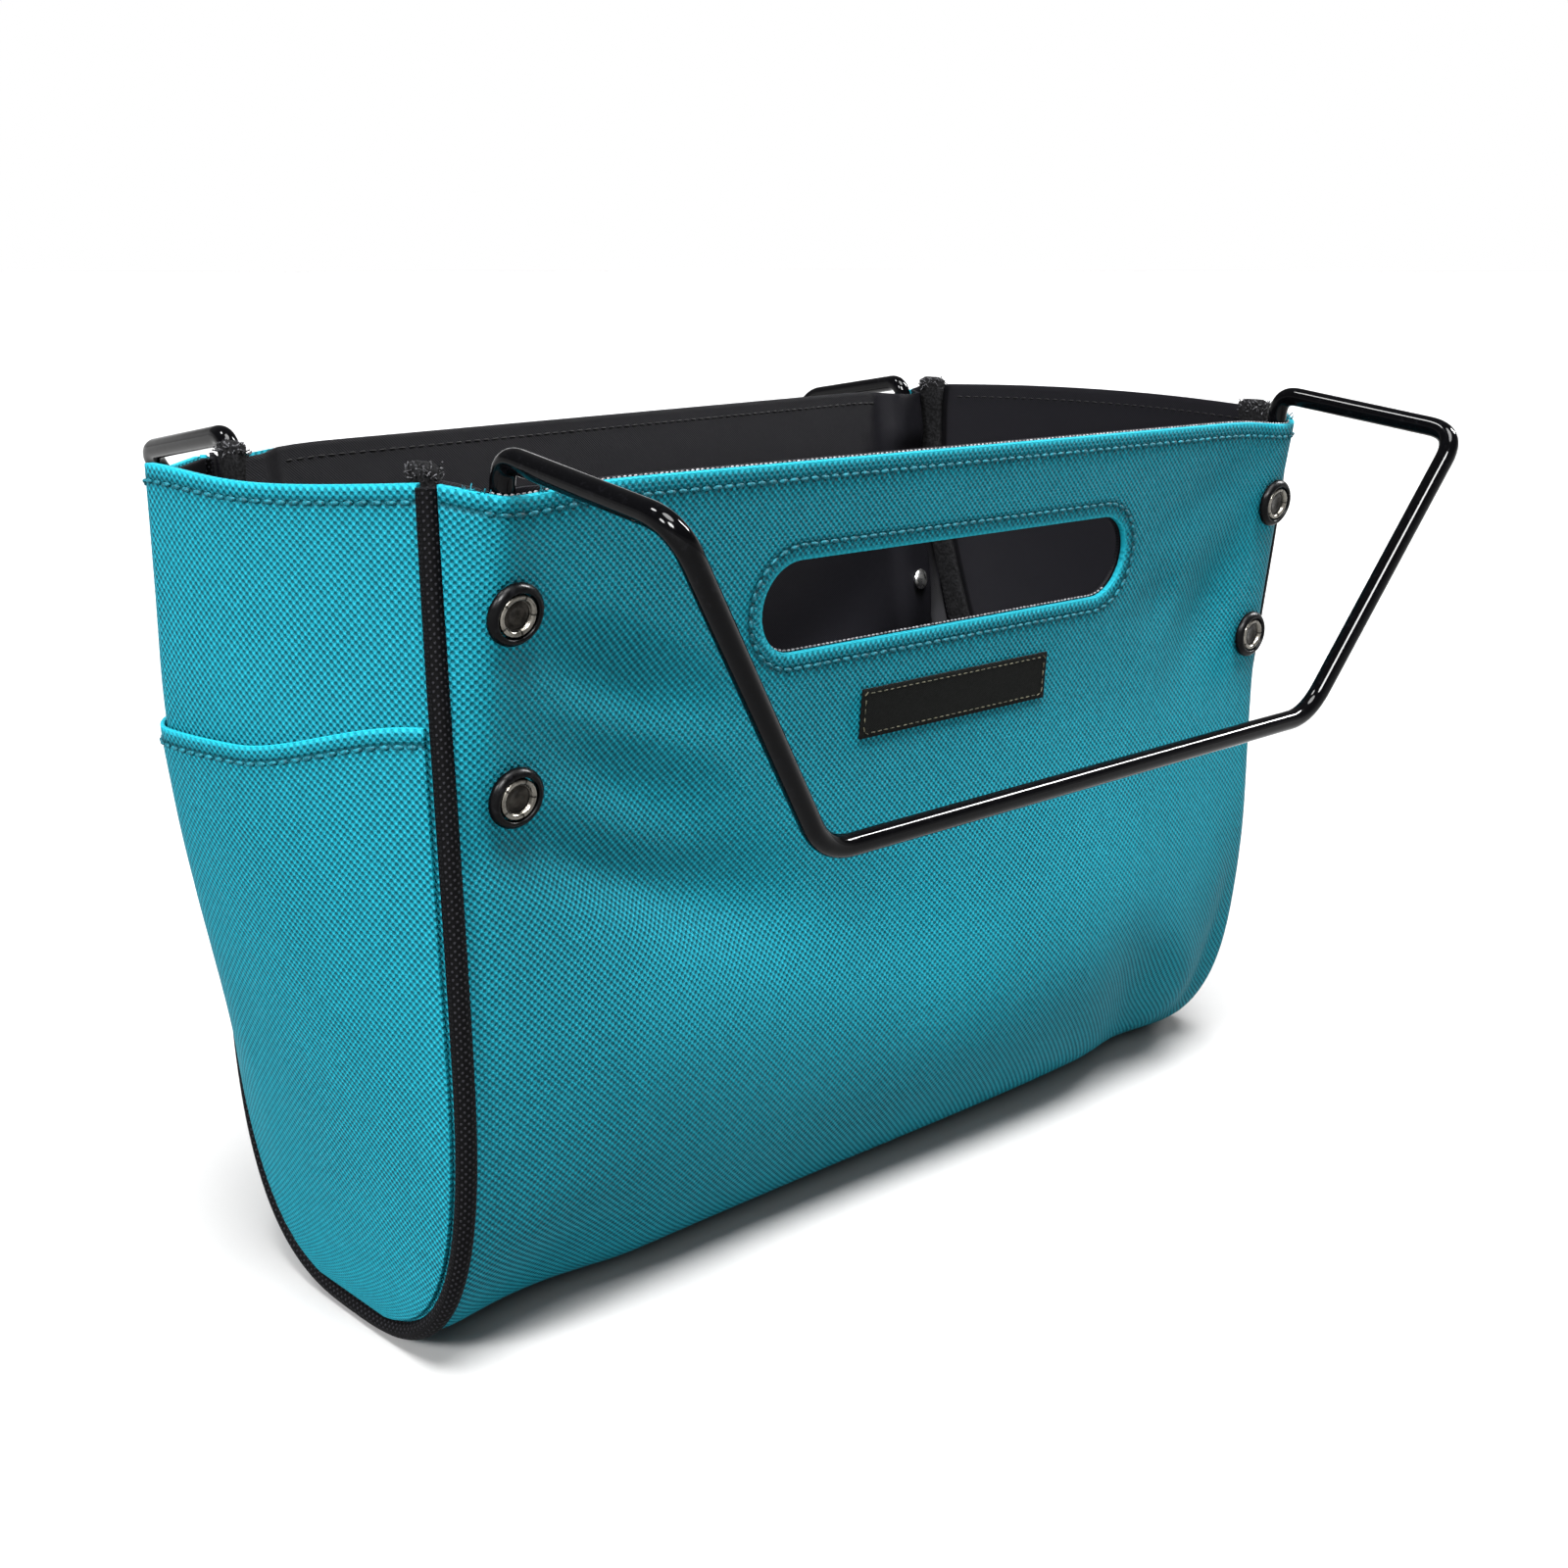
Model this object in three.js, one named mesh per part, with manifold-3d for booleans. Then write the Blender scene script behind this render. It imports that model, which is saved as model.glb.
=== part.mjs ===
// Ladder tool pouch: a lined cloth bag with two riveted wire hooks, standing open on a flat surface.
// Millimetres, +Z up, front of the pouch towards -Y.
import * as THREE from 'three';
import { mergeVertices } from 'three/addons/utils/BufferGeometryUtils.js';
import Module from 'manifold-3d';

const wasm = await Module();
wasm.setup();

// Cloth layers
const CLOTH = 1.6;
const LINING = 1.0;
const POCKET_CLOTH = 1.4;
const LAYER_GAP = 0.4;
const WRAP_LINING_GAP = 0.7;
const SEAT_GAP = 0.3;
// Points closer than this are one point
const MERGE_DISTANCE = 1e-4;

// Outline of the end seams: straight sides above a round, flattened foot
const SEAM_X = 157.6;
const RIM_Z = 214;
const ROUND_Z = 88;
const FACE_DEPTH = 52.5;
const ROUND_DROP = 85;
const ROUND_POWER = 2.9;

// The four rim corners: end -1 is left, face -1 is front, depth is from the middle plane.
// A seam leans from its foot's depth to its corner's depth between the heights from and to.
const RIM_CORNERS = [
  { end: -1, face: -1, foot: 52.5, depth: 49, height: 214, from: 60, to: 214 },
  { end: -1, face: 1, foot: 52.5, depth: 50, height: 213, from: 60, to: 214 },
  { end: 1, face: -1, foot: 42, depth: 52, height: 213, from: 90, to: 214 },
  { end: 1, face: 1, foot: 52.5, depth: 101, height: 214.5, from: 20, to: 200 },
];
const RIM_CHANGE_Z = 188;

// Front and back faces lean outward near the rim; the back one is also turned in plan
const FACE_SWELL = 0.8;
const FACE_LEAN = 9.7;
const FACE_LEAN_Z = 125;
const FACE_LEAN_POWER = 1.15;
const FOOT_SWELL = { front: 5, back: 14 };
const FOOT_SWELL_POWER = 8;
const BACK_TURN = THREE.MathUtils.degToRad(7.5);
const BACK_SHIFT = 22;
const BACK_TURN_LOW_Z = 20;
const BACK_TURN_FULL_Z = 134;
const HOOK_PLANE_Y = 58.3;
const CORNER_WIDTH = 12;
const RIM_SAG = 1;
// Half the distance over which the slope of the cloth is measured
const NORMAL_STEP = 0.5;

// Soft dents and swellings of the wrap; push is outward
const FOLDS = [
  { face: -1, x: 25, z: 82, wide: 95, tall: 42, push: 2.6 },
  { face: -1, x: -92, z: 160, wide: 26, tall: 26, push: -1.6 },
  { face: -1, x: 104, z: 166, wide: 20, tall: 18, push: -2.2 },
  { face: -1, x: 122, z: 46, wide: 20, tall: 30, push: -3.4 },
  { face: -1, x: -124, z: 14, wide: 20, tall: 14, push: -3 },
  { face: 1, x: -40, z: 84, wide: 90, tall: 40, push: 2.4 },
  { face: 1, x: 96, z: 60, wide: 26, tall: 34, push: -2.6 },
];
// The line along the middle of the foot, where front and back meet, has no folds
const FOLD_FREE_DEPTH = 1;

// Places where the foot is lifted off the floor
const FOOT_LIFTS = [
  { x: -126, reach: 36, lift: 2.6 },
  { x: 118, reach: 27, lift: 1.5 },
];
const FOOT_LIFT_Z = 40;

// Rows down each side, from the rim to the middle of the foot
const STRAIGHT_ROWS = [214, 205, 193, 162, 130];
const ROUND_ROWS = [0, 22, 40, 55, 68, 80, 90];
// Rows of the end pockets; drop is how much lower the row runs behind the middle
const POCKET_ROWS = [{ height: 162, drop: 8.8 }, { height: 145, drop: 5 }, { height: 130 }];
// Columns across the wrap, counted from the middle; the outermost column is the seam edge
const PANEL_COLUMNS = [0, 45, 90, 128, 138, 145.6, 148.4, 152];
const GUSSET_STEPS = 8;
const GUSSET_LINING_GAP = 0.7;

// End panels
const GUSSET_BOW = { left: 25, right: 8 };
const BOW_PEAK = { left: 0.5, right: 0 };
const BOW_FULL_Z = 170;
const BOW_POWER = 2;
const GUSSET_RIM_DIP = { left: 2.2, right: -2 };
const GUSSET_CREST = { left: 3.5, right: 0 };
const CREST_WIDTH = 0.3;
const HEM_SWELL = 0.8;

// Seams
const PIPING_RADIUS = 2.5;
const PIPING_SIDES = 6;
const PIPING_BELOW_RIM = 1;
const EDGE_INSET = 2.9;
const POCKET_INSET = 3.4;
const LINING_INSET = 4.2;
const LINING_BELOW_RIM = 1;
const BINDING_WIDTH = 9.6;
const BINDING_THICK = 2.2;
const BINDING_FROM_SEAM = 4.2;
const BINDING_ABOVE_RIM = 4.5;

// Hand slots and label
const SLOT_LENGTH = 142;
const SLOT_HEIGHT = 23.4;
const SLOT_Z = 177.3;
const SLOT_CUT_REACH = 60;
const SLOT_END_STEPS = 5;
const LABEL_X = 3;
const LABEL_Z = 146;
const LABEL_WIDTH = 74;
const LABEL_HEIGHT = 13.4;
const LABEL_THICK = 0.6;

// Wire hooks, given for the front one
const WIRE_RADIUS = 2.75;
const WIRE_SIDES = 8;
const TAB_HALF_WIDTH = 4;
const TAB_HALF_THICK = 1.1;
const TAB_GAP = 1;
const HOOK_TOP = { x: 145.2, y: -58.9, z: 219.4, sway: 0 };
const HOOK_OUTER = { x: 147.5, y: -117, z: 211, sway: 1 };
const HOOK_LOWER = { x: 96.7, y: -105, z: 133.5, sway: 1 };
// How far each hook's outer frame is pushed along the face, and how much lower it sits
const HOOK_POSE = { front: { skew: 0, drop: 0 }, back: { skew: -16, drop: 3 } };
const HOOK_TOP_BEND = 6;
const HOOK_BEND = 9;
const BEND_STEPS = 3;
const LEG_TAB_ROWS = [137, 162, 182, 196];
const LEG_WIRE_ROWS = [206, 211];
const LEG_ROUND_LOW_Z = 190;
const LEG_ROUND_Z = 200;
const LEG_POCKET_Z = 134;
const LEG_POCKET_FADE_Z = 104;
const RIM_DIP_AT_LEG = 1.8;
const RIM_DIP_WIDTH = 16;
const LEG_POCKET_COLUMNS = { fade: 128, inner: 138, outer: 148.4, edge: 152 };

// Rivets: rows of the two rivets on each leg
const RIVET_ROWS = [
  { row: 'upper', x: 144, z: 186.3 },
  { row: 'lower', x: 142, z: 144.5 },
];
const RIVET_SIDES = 8;
const SHANK_RADIUS = 2;
const HOLE_RADIUS = 2.3;
const HOLE_CUT_LENGTH = 30;
const RIVET_HEAD_RADIUS = 4.9;
const RIVET_HEAD_HEIGHT = 2.6;
const RIVET_DISH_RADIUS = 3.5;
const RIVET_DISH_HEIGHT = 1.9;
const INNER_HEAD_RADIUS = 3.8;
const INNER_HEAD_HEIGHT = 1.5;
const INNER_SEAT_GAP = 0.8;
const CAP_SEAT_GAP = 0.6;
const CAP_INNER_RADIUS = 5.3;
const CAP_OUTER_RADIUS = 7.25;
const CAP_EDGE_HEIGHT = 1.5;
const CAP_HEIGHT = 2.8;

const MATERIALS = {
  teal: new THREE.MeshStandardMaterial({ color: 0x0d97a3, roughness: 0.75, metalness: 0 }),
  lining: new THREE.MeshStandardMaterial({ color: 0x15151a, roughness: 0.6, metalness: 0 }),
  trim: new THREE.MeshStandardMaterial({ color: 0x101012, roughness: 0.85, metalness: 0 }),
  wire: new THREE.MeshStandardMaterial({ color: 0x08080a, roughness: 0.2, metalness: 0 }),
  rivet: new THREE.MeshStandardMaterial({ color: 0x55534f, roughness: 0.35, metalness: 1 }),
};

const ENDS = [
  { end: -1, name: 'left' },
  { end: 1, name: 'right' },
];
const FACES = [
  { face: -1, name: 'front' },
  { face: 1, name: 'back' },
];

const { clamp, lerp, smoothstep, degToRad } = THREE.MathUtils;
const vector = (x, y, z) => new THREE.Vector3(x, y, z);
const bell = (distance, width) => Math.exp(-((distance / width) ** 2));
const mound = (distance, reach) => Math.max(0, 1 - (distance / reach) ** 2) ** 2;

// Shape of the cloth

const rimShare = (height) => smoothstep(height, RIM_CHANGE_Z, RIM_Z);
const cornerOf = (end, face) => RIM_CORNERS.find((row) => row.end === end && row.face === face);

// Half outline at one level: foot is its depth at half height, grow moves it outward
function outline(level, foot, grow) {
  if (level.height !== undefined) {
    return { depth: foot + grow, height: level.height };
  }
  const turn = degToRad(level.angle);
  const power = 2 / ROUND_POWER;
  return {
    depth: (foot + grow) * Math.max(Math.cos(turn), 0) ** power,
    height: ROUND_Z - (ROUND_DROP + grow) * Math.sin(turn) ** power,
  };
}

const levelHeight = (level) => outline(level, FACE_DEPTH, 0).height;

function seamPoint(end, face, level, grow) {
  const corner = cornerOf(end, face);
  const base = outline(level, corner.foot, grow);
  const lean = smoothstep(base.height, corner.from, corner.to);
  const depth = base.depth + (corner.depth - corner.foot) * lean;
  const rise = (corner.height - RIM_Z) * rimShare(base.height);
  return vector(end * SEAM_X, face * depth, base.height + rise);
}

function foldPush(face, x, height) {
  const rows = FOLDS.filter((row) => row.face === face);
  const pushOf = (row) => row.push * bell(x - row.x, row.wide) * bell(height - row.z, row.tall);
  return rows.reduce((sum, row) => sum + pushOf(row), 0);
}

// Middle of the front or back face, away from the end seams
function facePoint(face, level, x) {
  const foot = level.angle === undefined ? 0 : Math.sin(degToRad(level.angle)) ** FOOT_SWELL_POWER;
  const footSwell = face < 0 ? FOOT_SWELL.front : FOOT_SWELL.back;
  const base = outline(level, FACE_DEPTH, lerp(FACE_SWELL, footSwell, foot));
  const lean = clamp((base.height - FACE_LEAN_Z) / (RIM_Z - FACE_LEAN_Z), 0, 1) ** FACE_LEAN_POWER;
  let depth = base.depth + FACE_LEAN * lean;
  if (base.depth > FOLD_FREE_DEPTH) {
    depth += foldPush(face, x, base.height);
  }
  if (face > 0) {
    const beyond = (depth - HOOK_PLANE_Y) / Math.cos(BACK_TURN);
    const turned = HOOK_PLANE_Y + beyond + x * Math.tan(BACK_TURN) + BACK_SHIFT;
    const share = smoothstep(base.height, BACK_TURN_LOW_Z, BACK_TURN_FULL_Z);
    depth = lerp(depth, turned, share);
  }
  const left = cornerOf(-1, face).height;
  const right = cornerOf(1, face).height;
  const rim = lerp(left, right, (x + SEAM_X) / (2 * SEAM_X)) - RIM_SAG;
  const legDip = RIM_DIP_AT_LEG * bell(Math.abs(x) - HOOK_TOP.x, RIM_DIP_WIDTH);
  const lift = FOOT_LIFTS.reduce((sum, row) => sum + row.lift * mound(x - row.x, row.reach), 0);
  const low = 1 - smoothstep(base.height, 0, FOOT_LIFT_Z);
  const height = Math.max(0, base.height) + lift * low;
  return vector(x, face * depth, height + (rim - legDip - RIM_Z) * rimShare(base.height));
}

// Outer surface of the wrap: the face, rounded back to the seam near each end
function panelPoint(face, level, x) {
  const end = x < 0 ? -1 : 1;
  const edge = seamPoint(end, face, level, CLOTH / 2);
  const middle = facePoint(face, level, x);
  const reach = clamp((SEAM_X - Math.abs(x)) / CORNER_WIDTH, 0, 1);
  const blend = Math.sin(reach * Math.PI / 2);
  return vector(x, lerp(edge.y, middle.y, blend), Math.max(0, lerp(edge.z, middle.z, blend)));
}

// Column of the wrap that lies a given distance along the cloth from the seam
function edgeColumn(end, face, level, inset) {
  const edge = seamPoint(end, face, level, CLOTH / 2);
  const middle = facePoint(face, level, end * (SEAM_X - CORNER_WIDTH));
  const slope = Math.hypot(middle.y - edge.y, middle.z - edge.z) * Math.PI / 2 / CORNER_WIDTH;
  return end * (SEAM_X - inset / Math.hypot(1, slope));
}

function panelNormal(face, height, x) {
  const at = (rise, along) => panelPoint(face, { height: height + rise }, x + along);
  const down = at(-NORMAL_STEP, 0).sub(at(NORMAL_STEP, 0));
  const right = at(0, NORMAL_STEP).sub(at(0, -NORMAL_STEP));
  return down.cross(right).multiplyScalar(-face).normalize();
}

// Outer surface of an end panel; across runs from -1 at the front seam to 1 at the back seam
function gussetPoint(end, level, across, inset) {
  const height = levelHeight(level);
  const name = end < 0 ? 'left' : 'right';
  const bow = GUSSET_BOW[name] * smoothstep(height, 0, BOW_FULL_Z);
  const front = seamPoint(end, -1, level, 0);
  const back = seamPoint(end, 1, level, 0);
  const peak = lerp(front.y, back.y, (BOW_PEAK[name] + 1) / 2);
  const grow = (reach) => -inset / Math.hypot(1, bow * BOW_POWER / reach);
  const near = seamPoint(end, -1, level, grow(peak - front.y));
  const far = seamPoint(end, 1, level, grow(back.y - peak));
  const y = lerp(near.y, far.y, (across + 1) / 2);
  const fromPeak = y < peak ? (peak - y) / (peak - front.y) : (y - peak) / (back.y - peak);
  const share = Math.min(Math.abs(fromPeak), 1);
  const crest = GUSSET_CREST[name] * bell(share, CREST_WIDTH);
  const rise = rimShare(height) * (crest - GUSSET_RIM_DIP[name] * (1 - share ** 2));
  const z = lerp(near.z, far.z, (across + 1) / 2) + rise;
  return vector(end * (SEAM_X + CLOTH / 2 + bow * (1 - share ** BOW_POWER)), y, z);
}

// Closed solids from grids and rings of points

function solidOf(points, faces) {
  const geometry = new THREE.BufferGeometry();
  const numbers = points.flatMap((point) => point.toArray());
  geometry.setAttribute('position', new THREE.Float32BufferAttribute(numbers, 3));
  const triple = ([a, b, c]) => points[a].dot(points[b].clone().cross(points[c]));
  const volume = faces.reduce((sum, face) => sum + triple(face), 0);
  const outward = volume > 0 ? faces : faces.map(([a, b, c]) => [a, c, b]);
  geometry.setIndex(outward.flat());
  return geometry;
}

function gridNormals(grid) {
  const at = (i, j) => grid[clamp(i, 0, grid.length - 1)][clamp(j, 0, grid[0].length - 1)];
  return grid.map((row, i) => row.map((point, j) => {
    const down = at(i + 1, j).clone().sub(at(i - 1, j));
    return down.cross(at(i, j + 1).clone().sub(at(i, j - 1))).normalize();
  }));
}

// A wall between two depths below a grid of surface points; inward is the sign of the grid's normals.
// An optional push moves each point of both sides.
function wallSolid(grid, inward, nearDepth, farDepth, push = () => vector(0, 0, 0)) {
  const normals = gridNormals(grid);
  const rows = grid.length;
  const columns = grid[0].length;
  const layer = (depthOf) => grid.flatMap((row, i) => row.map((point, j) => (
    point.clone().addScaledVector(normals[i][j], inward * depthOf(i, j)).add(push(i, j)))));
  const points = [...layer(nearDepth), ...layer(farDepth)];
  const index = (side, i, j) => side * rows * columns + i * columns + j;
  const faces = [];
  const quad = (a, b, c, d) => faces.push([a, b, c], [a, c, d]);
  for (let i = 0; i < rows - 1; i += 1) {
    for (let j = 0; j < columns - 1; j += 1) {
      quad(index(0, i, j), index(0, i + 1, j), index(0, i + 1, j + 1), index(0, i, j + 1));
      quad(index(1, i, j), index(1, i, j + 1), index(1, i + 1, j + 1), index(1, i + 1, j));
    }
  }
  for (let i = 0; i < rows - 1; i += 1) {
    const last = columns - 1;
    quad(index(0, i, 0), index(1, i, 0), index(1, i + 1, 0), index(0, i + 1, 0));
    quad(index(0, i, last), index(0, i + 1, last), index(1, i + 1, last), index(1, i, last));
  }
  for (let j = 0; j < columns - 1; j += 1) {
    const last = rows - 1;
    quad(index(0, 0, j), index(0, 0, j + 1), index(1, 0, j + 1), index(1, 0, j));
    quad(index(0, last, j), index(1, last, j), index(1, last, j + 1), index(0, last, j + 1));
  }
  return solidOf(points, faces);
}

// A bar through a list of rings that all have the same number of points
function loftSolid(rings) {
  const sides = rings[0].length;
  const faces = [];
  for (let i = 0; i < rings.length - 1; i += 1) {
    for (let k = 0; k < sides; k += 1) {
      const next = (k + 1) % sides;
      faces.push([i * sides + k, i * sides + next, (i + 1) * sides + next]);
      faces.push([i * sides + k, (i + 1) * sides + next, (i + 1) * sides + k]);
    }
  }
  const start = (rings.length - 1) * sides;
  for (let k = 1; k < sides - 1; k += 1) {
    faces.push([0, k + 1, k], [start, start + k, start + k + 1]);
  }
  return solidOf(rings.flat(), faces);
}

// Round or oval rings along a path, turned as little as possible from one to the next.
// What turn is left over between the two end sides is shared out between the rings.
function sweepSolid(path, firstSide, lastSide, sizeOf, sides) {
  let side = firstSide.clone();
  const end = path.length - 1;
  const frames = path.map((point, i) => {
    const before = path[Math.max(i - 1, 0)];
    const along = path[Math.min(i + 1, end)].clone().sub(before).normalize();
    side = side.clone().addScaledVector(along, -side.dot(along)).normalize();
    return { along, side };
  });
  const last = frames[end];
  const lastAcross = last.along.clone().cross(last.side);
  const leftOver = Math.atan2(lastSide.dot(lastAcross), lastSide.dot(last.side));
  const rings = path.map((point, i) => {
    const { along, side: untwisted } = frames[i];
    const turned = untwisted.clone().applyAxisAngle(along, leftOver * i / end);
    const across = along.clone().cross(turned);
    const size = sizeOf(i);
    return Array.from({ length: sides }, (_, k) => {
      const turn = (2 * Math.PI * (k + 0.5)) / sides;
      return point.clone().addScaledVector(turned, size.wide * Math.cos(turn))
        .addScaledVector(across, size.thick * Math.sin(turn));
    });
  });
  return loftSolid(rings);
}

function manifoldOf(geometry) {
  const bare = geometry.clone();
  bare.deleteAttribute('normal');
  bare.deleteAttribute('uv');
  const merged = mergeVertices(bare, MERGE_DISTANCE);
  return new wasm.Manifold(new wasm.Mesh({
    numProp: 3,
    vertProperties: new Float32Array(merged.attributes.position.array),
    triVerts: new Uint32Array(merged.index.array),
  }));
}

function cutSolid(geometry, cutters) {
  const whole = manifoldOf(geometry);
  const cut = cutters.reduce((body, cutter) => body.subtract(manifoldOf(cutter)), whole).getMesh();
  const result = new THREE.BufferGeometry();
  result.setAttribute('position', new THREE.BufferAttribute(new Float32Array(cut.vertProperties), 3));
  result.setIndex(new THREE.BufferAttribute(new Uint32Array(cut.triVerts), 1));
  return result;
}

// Sub-parts

const pouch = new THREE.Group();

function addPart(name, geometry, material) {
  geometry.computeVertexNormals();
  const part = new THREE.Mesh(geometry, material);
  part.name = name;
  pouch.add(part);
  return part;
}

const sideRows = [
  ...STRAIGHT_ROWS.map((height) => ({ height })),
  ...ROUND_ROWS.map((angle) => ({ angle })),
];
// Levels once round the wrap: down the front, across the foot and up the back
const wrapRows = [
  ...sideRows.map((level) => ({ face: -1, level })),
  ...sideRows.slice(0, -1).reverse().map((level) => ({ face: 1, level })),
];
const panelColumns = [
  ...PANEL_COLUMNS.slice(1).reverse().map((x) => -x),
  ...PANEL_COLUMNS,
];

function wrapGrid(inset) {
  return wrapRows.map(({ face, level }) => [
    edgeColumn(-1, face, level, inset), ...panelColumns, edgeColumn(1, face, level, inset),
  ].map((x) => panelPoint(face, level, x)));
}

// Turn and place a thing made for the front face on the given face
function faceMatrix(face) {
  const matrix = new THREE.Matrix4();
  if (face < 0) {
    return matrix;
  }
  const pivot = vector(0, HOOK_PLANE_Y, 0);
  return matrix.makeTranslation(pivot.x, pivot.y + BACK_SHIFT, pivot.z)
    .multiply(new THREE.Matrix4().makeRotationZ(BACK_TURN))
    .multiply(new THREE.Matrix4().makeTranslation(-pivot.x, -pivot.y, -pivot.z))
    .multiply(new THREE.Matrix4().makeRotationZ(Math.PI));
}

function slotCutter(face) {
  const radius = SLOT_HEIGHT / 2;
  const half = SLOT_LENGTH / 2 - radius;
  const shape = new THREE.Shape();
  shape.absarc(half, 0, radius, -Math.PI / 2, Math.PI / 2);
  shape.absarc(-half, 0, radius, Math.PI / 2, 3 * Math.PI / 2);
  shape.closePath();
  const cutter = new THREE.ExtrudeGeometry(shape, {
    depth: SLOT_CUT_REACH, bevelEnabled: false, curveSegments: SLOT_END_STEPS,
  });
  cutter.rotateX(Math.PI / 2);
  cutter.translate(0, SLOT_CUT_REACH / 2 - HOOK_PLANE_Y, SLOT_Z);
  return cutter.applyMatrix4(faceMatrix(face));
}

// Where a rivet goes through: its point on the outer cloth and its outward axis
function rivetSeat(face, end, row) {
  const side = face < 0 ? end : -end;
  const height = row.z;
  const guess = vector(side * row.x, -HOOK_PLANE_Y, height).applyMatrix4(faceMatrix(face));
  const point = panelPoint(face, { height }, guess.x);
  return { point, axis: panelNormal(face, height, guess.x) };
}

function seatGeometry(geometry, seat) {
  const turn = new THREE.Quaternion().setFromUnitVectors(vector(0, 1, 0), seat.axis);
  return geometry.applyQuaternion(turn).translate(seat.point.x, seat.point.y, seat.point.z);
}

const LEGS = FACES.flatMap(({ face, name: faceName }) => (
  ENDS.map(({ end, name: endName }) => ({ face, end, legName: `${faceName}_${endName}` }))));
const RIVET_SEATS = LEGS.flatMap(({ face, end, legName }) => RIVET_ROWS.map((row) => ({
  face, name: `${legName}_${row.row}`, seat: rivetSeat(face, end, row),
})));

const TAB_DEPTH = CLOTH + TAB_GAP + TAB_HALF_THICK;
const LEG_DEPTH = CLOTH + LAYER_GAP + WIRE_RADIUS;
const TAB_POCKET = TAB_DEPTH + TAB_HALF_THICK - CLOTH;
const LEG_POCKET = LEG_DEPTH + WIRE_RADIUS - CLOTH;

function holeCutters(seats) {
  const drill = new THREE.CylinderGeometry(HOLE_RADIUS, HOLE_RADIUS, HOLE_CUT_LENGTH, RIVET_SIDES);
  return seats.map(({ seat }) => seatGeometry(drill.clone(), seat));
}

// How far the lining is pushed in to make room for the hook legs
function legPocket(level, x) {
  const height = levelHeight(level);
  const { fade, inner, outer, edge } = LEG_POCKET_COLUMNS;
  const reach = Math.abs(x);
  const outside = smoothstep(edge - reach, 0, edge - outer);
  const across = reach > outer ? outside : smoothstep(reach, fade, inner);
  const down = smoothstep(height, LEG_POCKET_FADE_Z, LEG_POCKET_Z);
  const room = lerp(TAB_POCKET, LEG_POCKET, smoothstep(height, LEG_ROUND_LOW_Z, LEG_ROUND_Z));
  return room * across * down;
}

function addWrap() {
  const slots = FACES.map(({ face }) => slotCutter(face));
  const holes = holeCutters(RIVET_SEATS);
  const outer = wallSolid(wrapGrid(EDGE_INSET), -1, () => 0, () => CLOTH);
  addPart('body_panel', cutSolid(outer, [...slots, ...holes]), MATERIALS.teal);

  const grid = wrapGrid(LINING_INSET);
  [grid[0], grid[grid.length - 1]].forEach((row) => row.forEach((point) => {
    point.z -= LINING_BELOW_RIM;
  }));
  const depth = CLOTH + WRAP_LINING_GAP;
  const push = (i, j) => {
    const { face, level } = wrapRows[i];
    return vector(0, -face * legPocket(level, grid[i][j].x), 0);
  };
  const inner = wallSolid(grid, -1, () => depth, () => depth + LINING, push);
  addPart('body_lining', cutSolid(inner, [...slots, ...holes]), MATERIALS.lining);
}

function gussetGrid(end, levels, inset) {
  const steps = Array.from({ length: GUSSET_STEPS + 1 }, (_, k) => (2 * k) / GUSSET_STEPS - 1);
  const sloped = (level, across) => (
    level.drop ? { height: level.height - level.drop * smoothstep(across, -1, 0) } : level);
  return levels.map((level) => (
    steps.map((across) => gussetPoint(end, sloped(level, across), across, inset))));
}

function addEnd(end, name) {
  const levels = sideRows.slice(0, -1);
  const outer = wallSolid(gussetGrid(end, levels, EDGE_INSET), -end, () => 0, () => CLOTH);
  addPart(`gusset_${name}`, outer, MATERIALS.teal);

  const liningGrid = gussetGrid(end, levels, LINING_INSET);
  liningGrid[0].forEach((point) => {
    point.z -= LINING_BELOW_RIM;
  });
  const near = CLOTH + GUSSET_LINING_GAP;
  const lining = wallSolid(liningGrid, -end, () => near, () => near + LINING);
  addPart(`gusset_lining_${name}`, lining, MATERIALS.lining);

  const pocketLevels = [
    ...POCKET_ROWS,
    ...ROUND_ROWS.slice(0, -1).map((angle) => ({ angle })),
  ];
  const hemSwell = (i, j) => (i === 0 ? HEM_SWELL * Math.sin((Math.PI * j) / GUSSET_STEPS) : 0);
  const pocketGap = (i, j) => -LAYER_GAP - hemSwell(i, j);
  const pocket = wallSolid(gussetGrid(end, pocketLevels, POCKET_INSET), -end,
    (i, j) => pocketGap(i, j) - POCKET_CLOTH, pocketGap);
  addPart(`pocket_${name}`, pocket, MATERIALS.teal);
}

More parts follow.
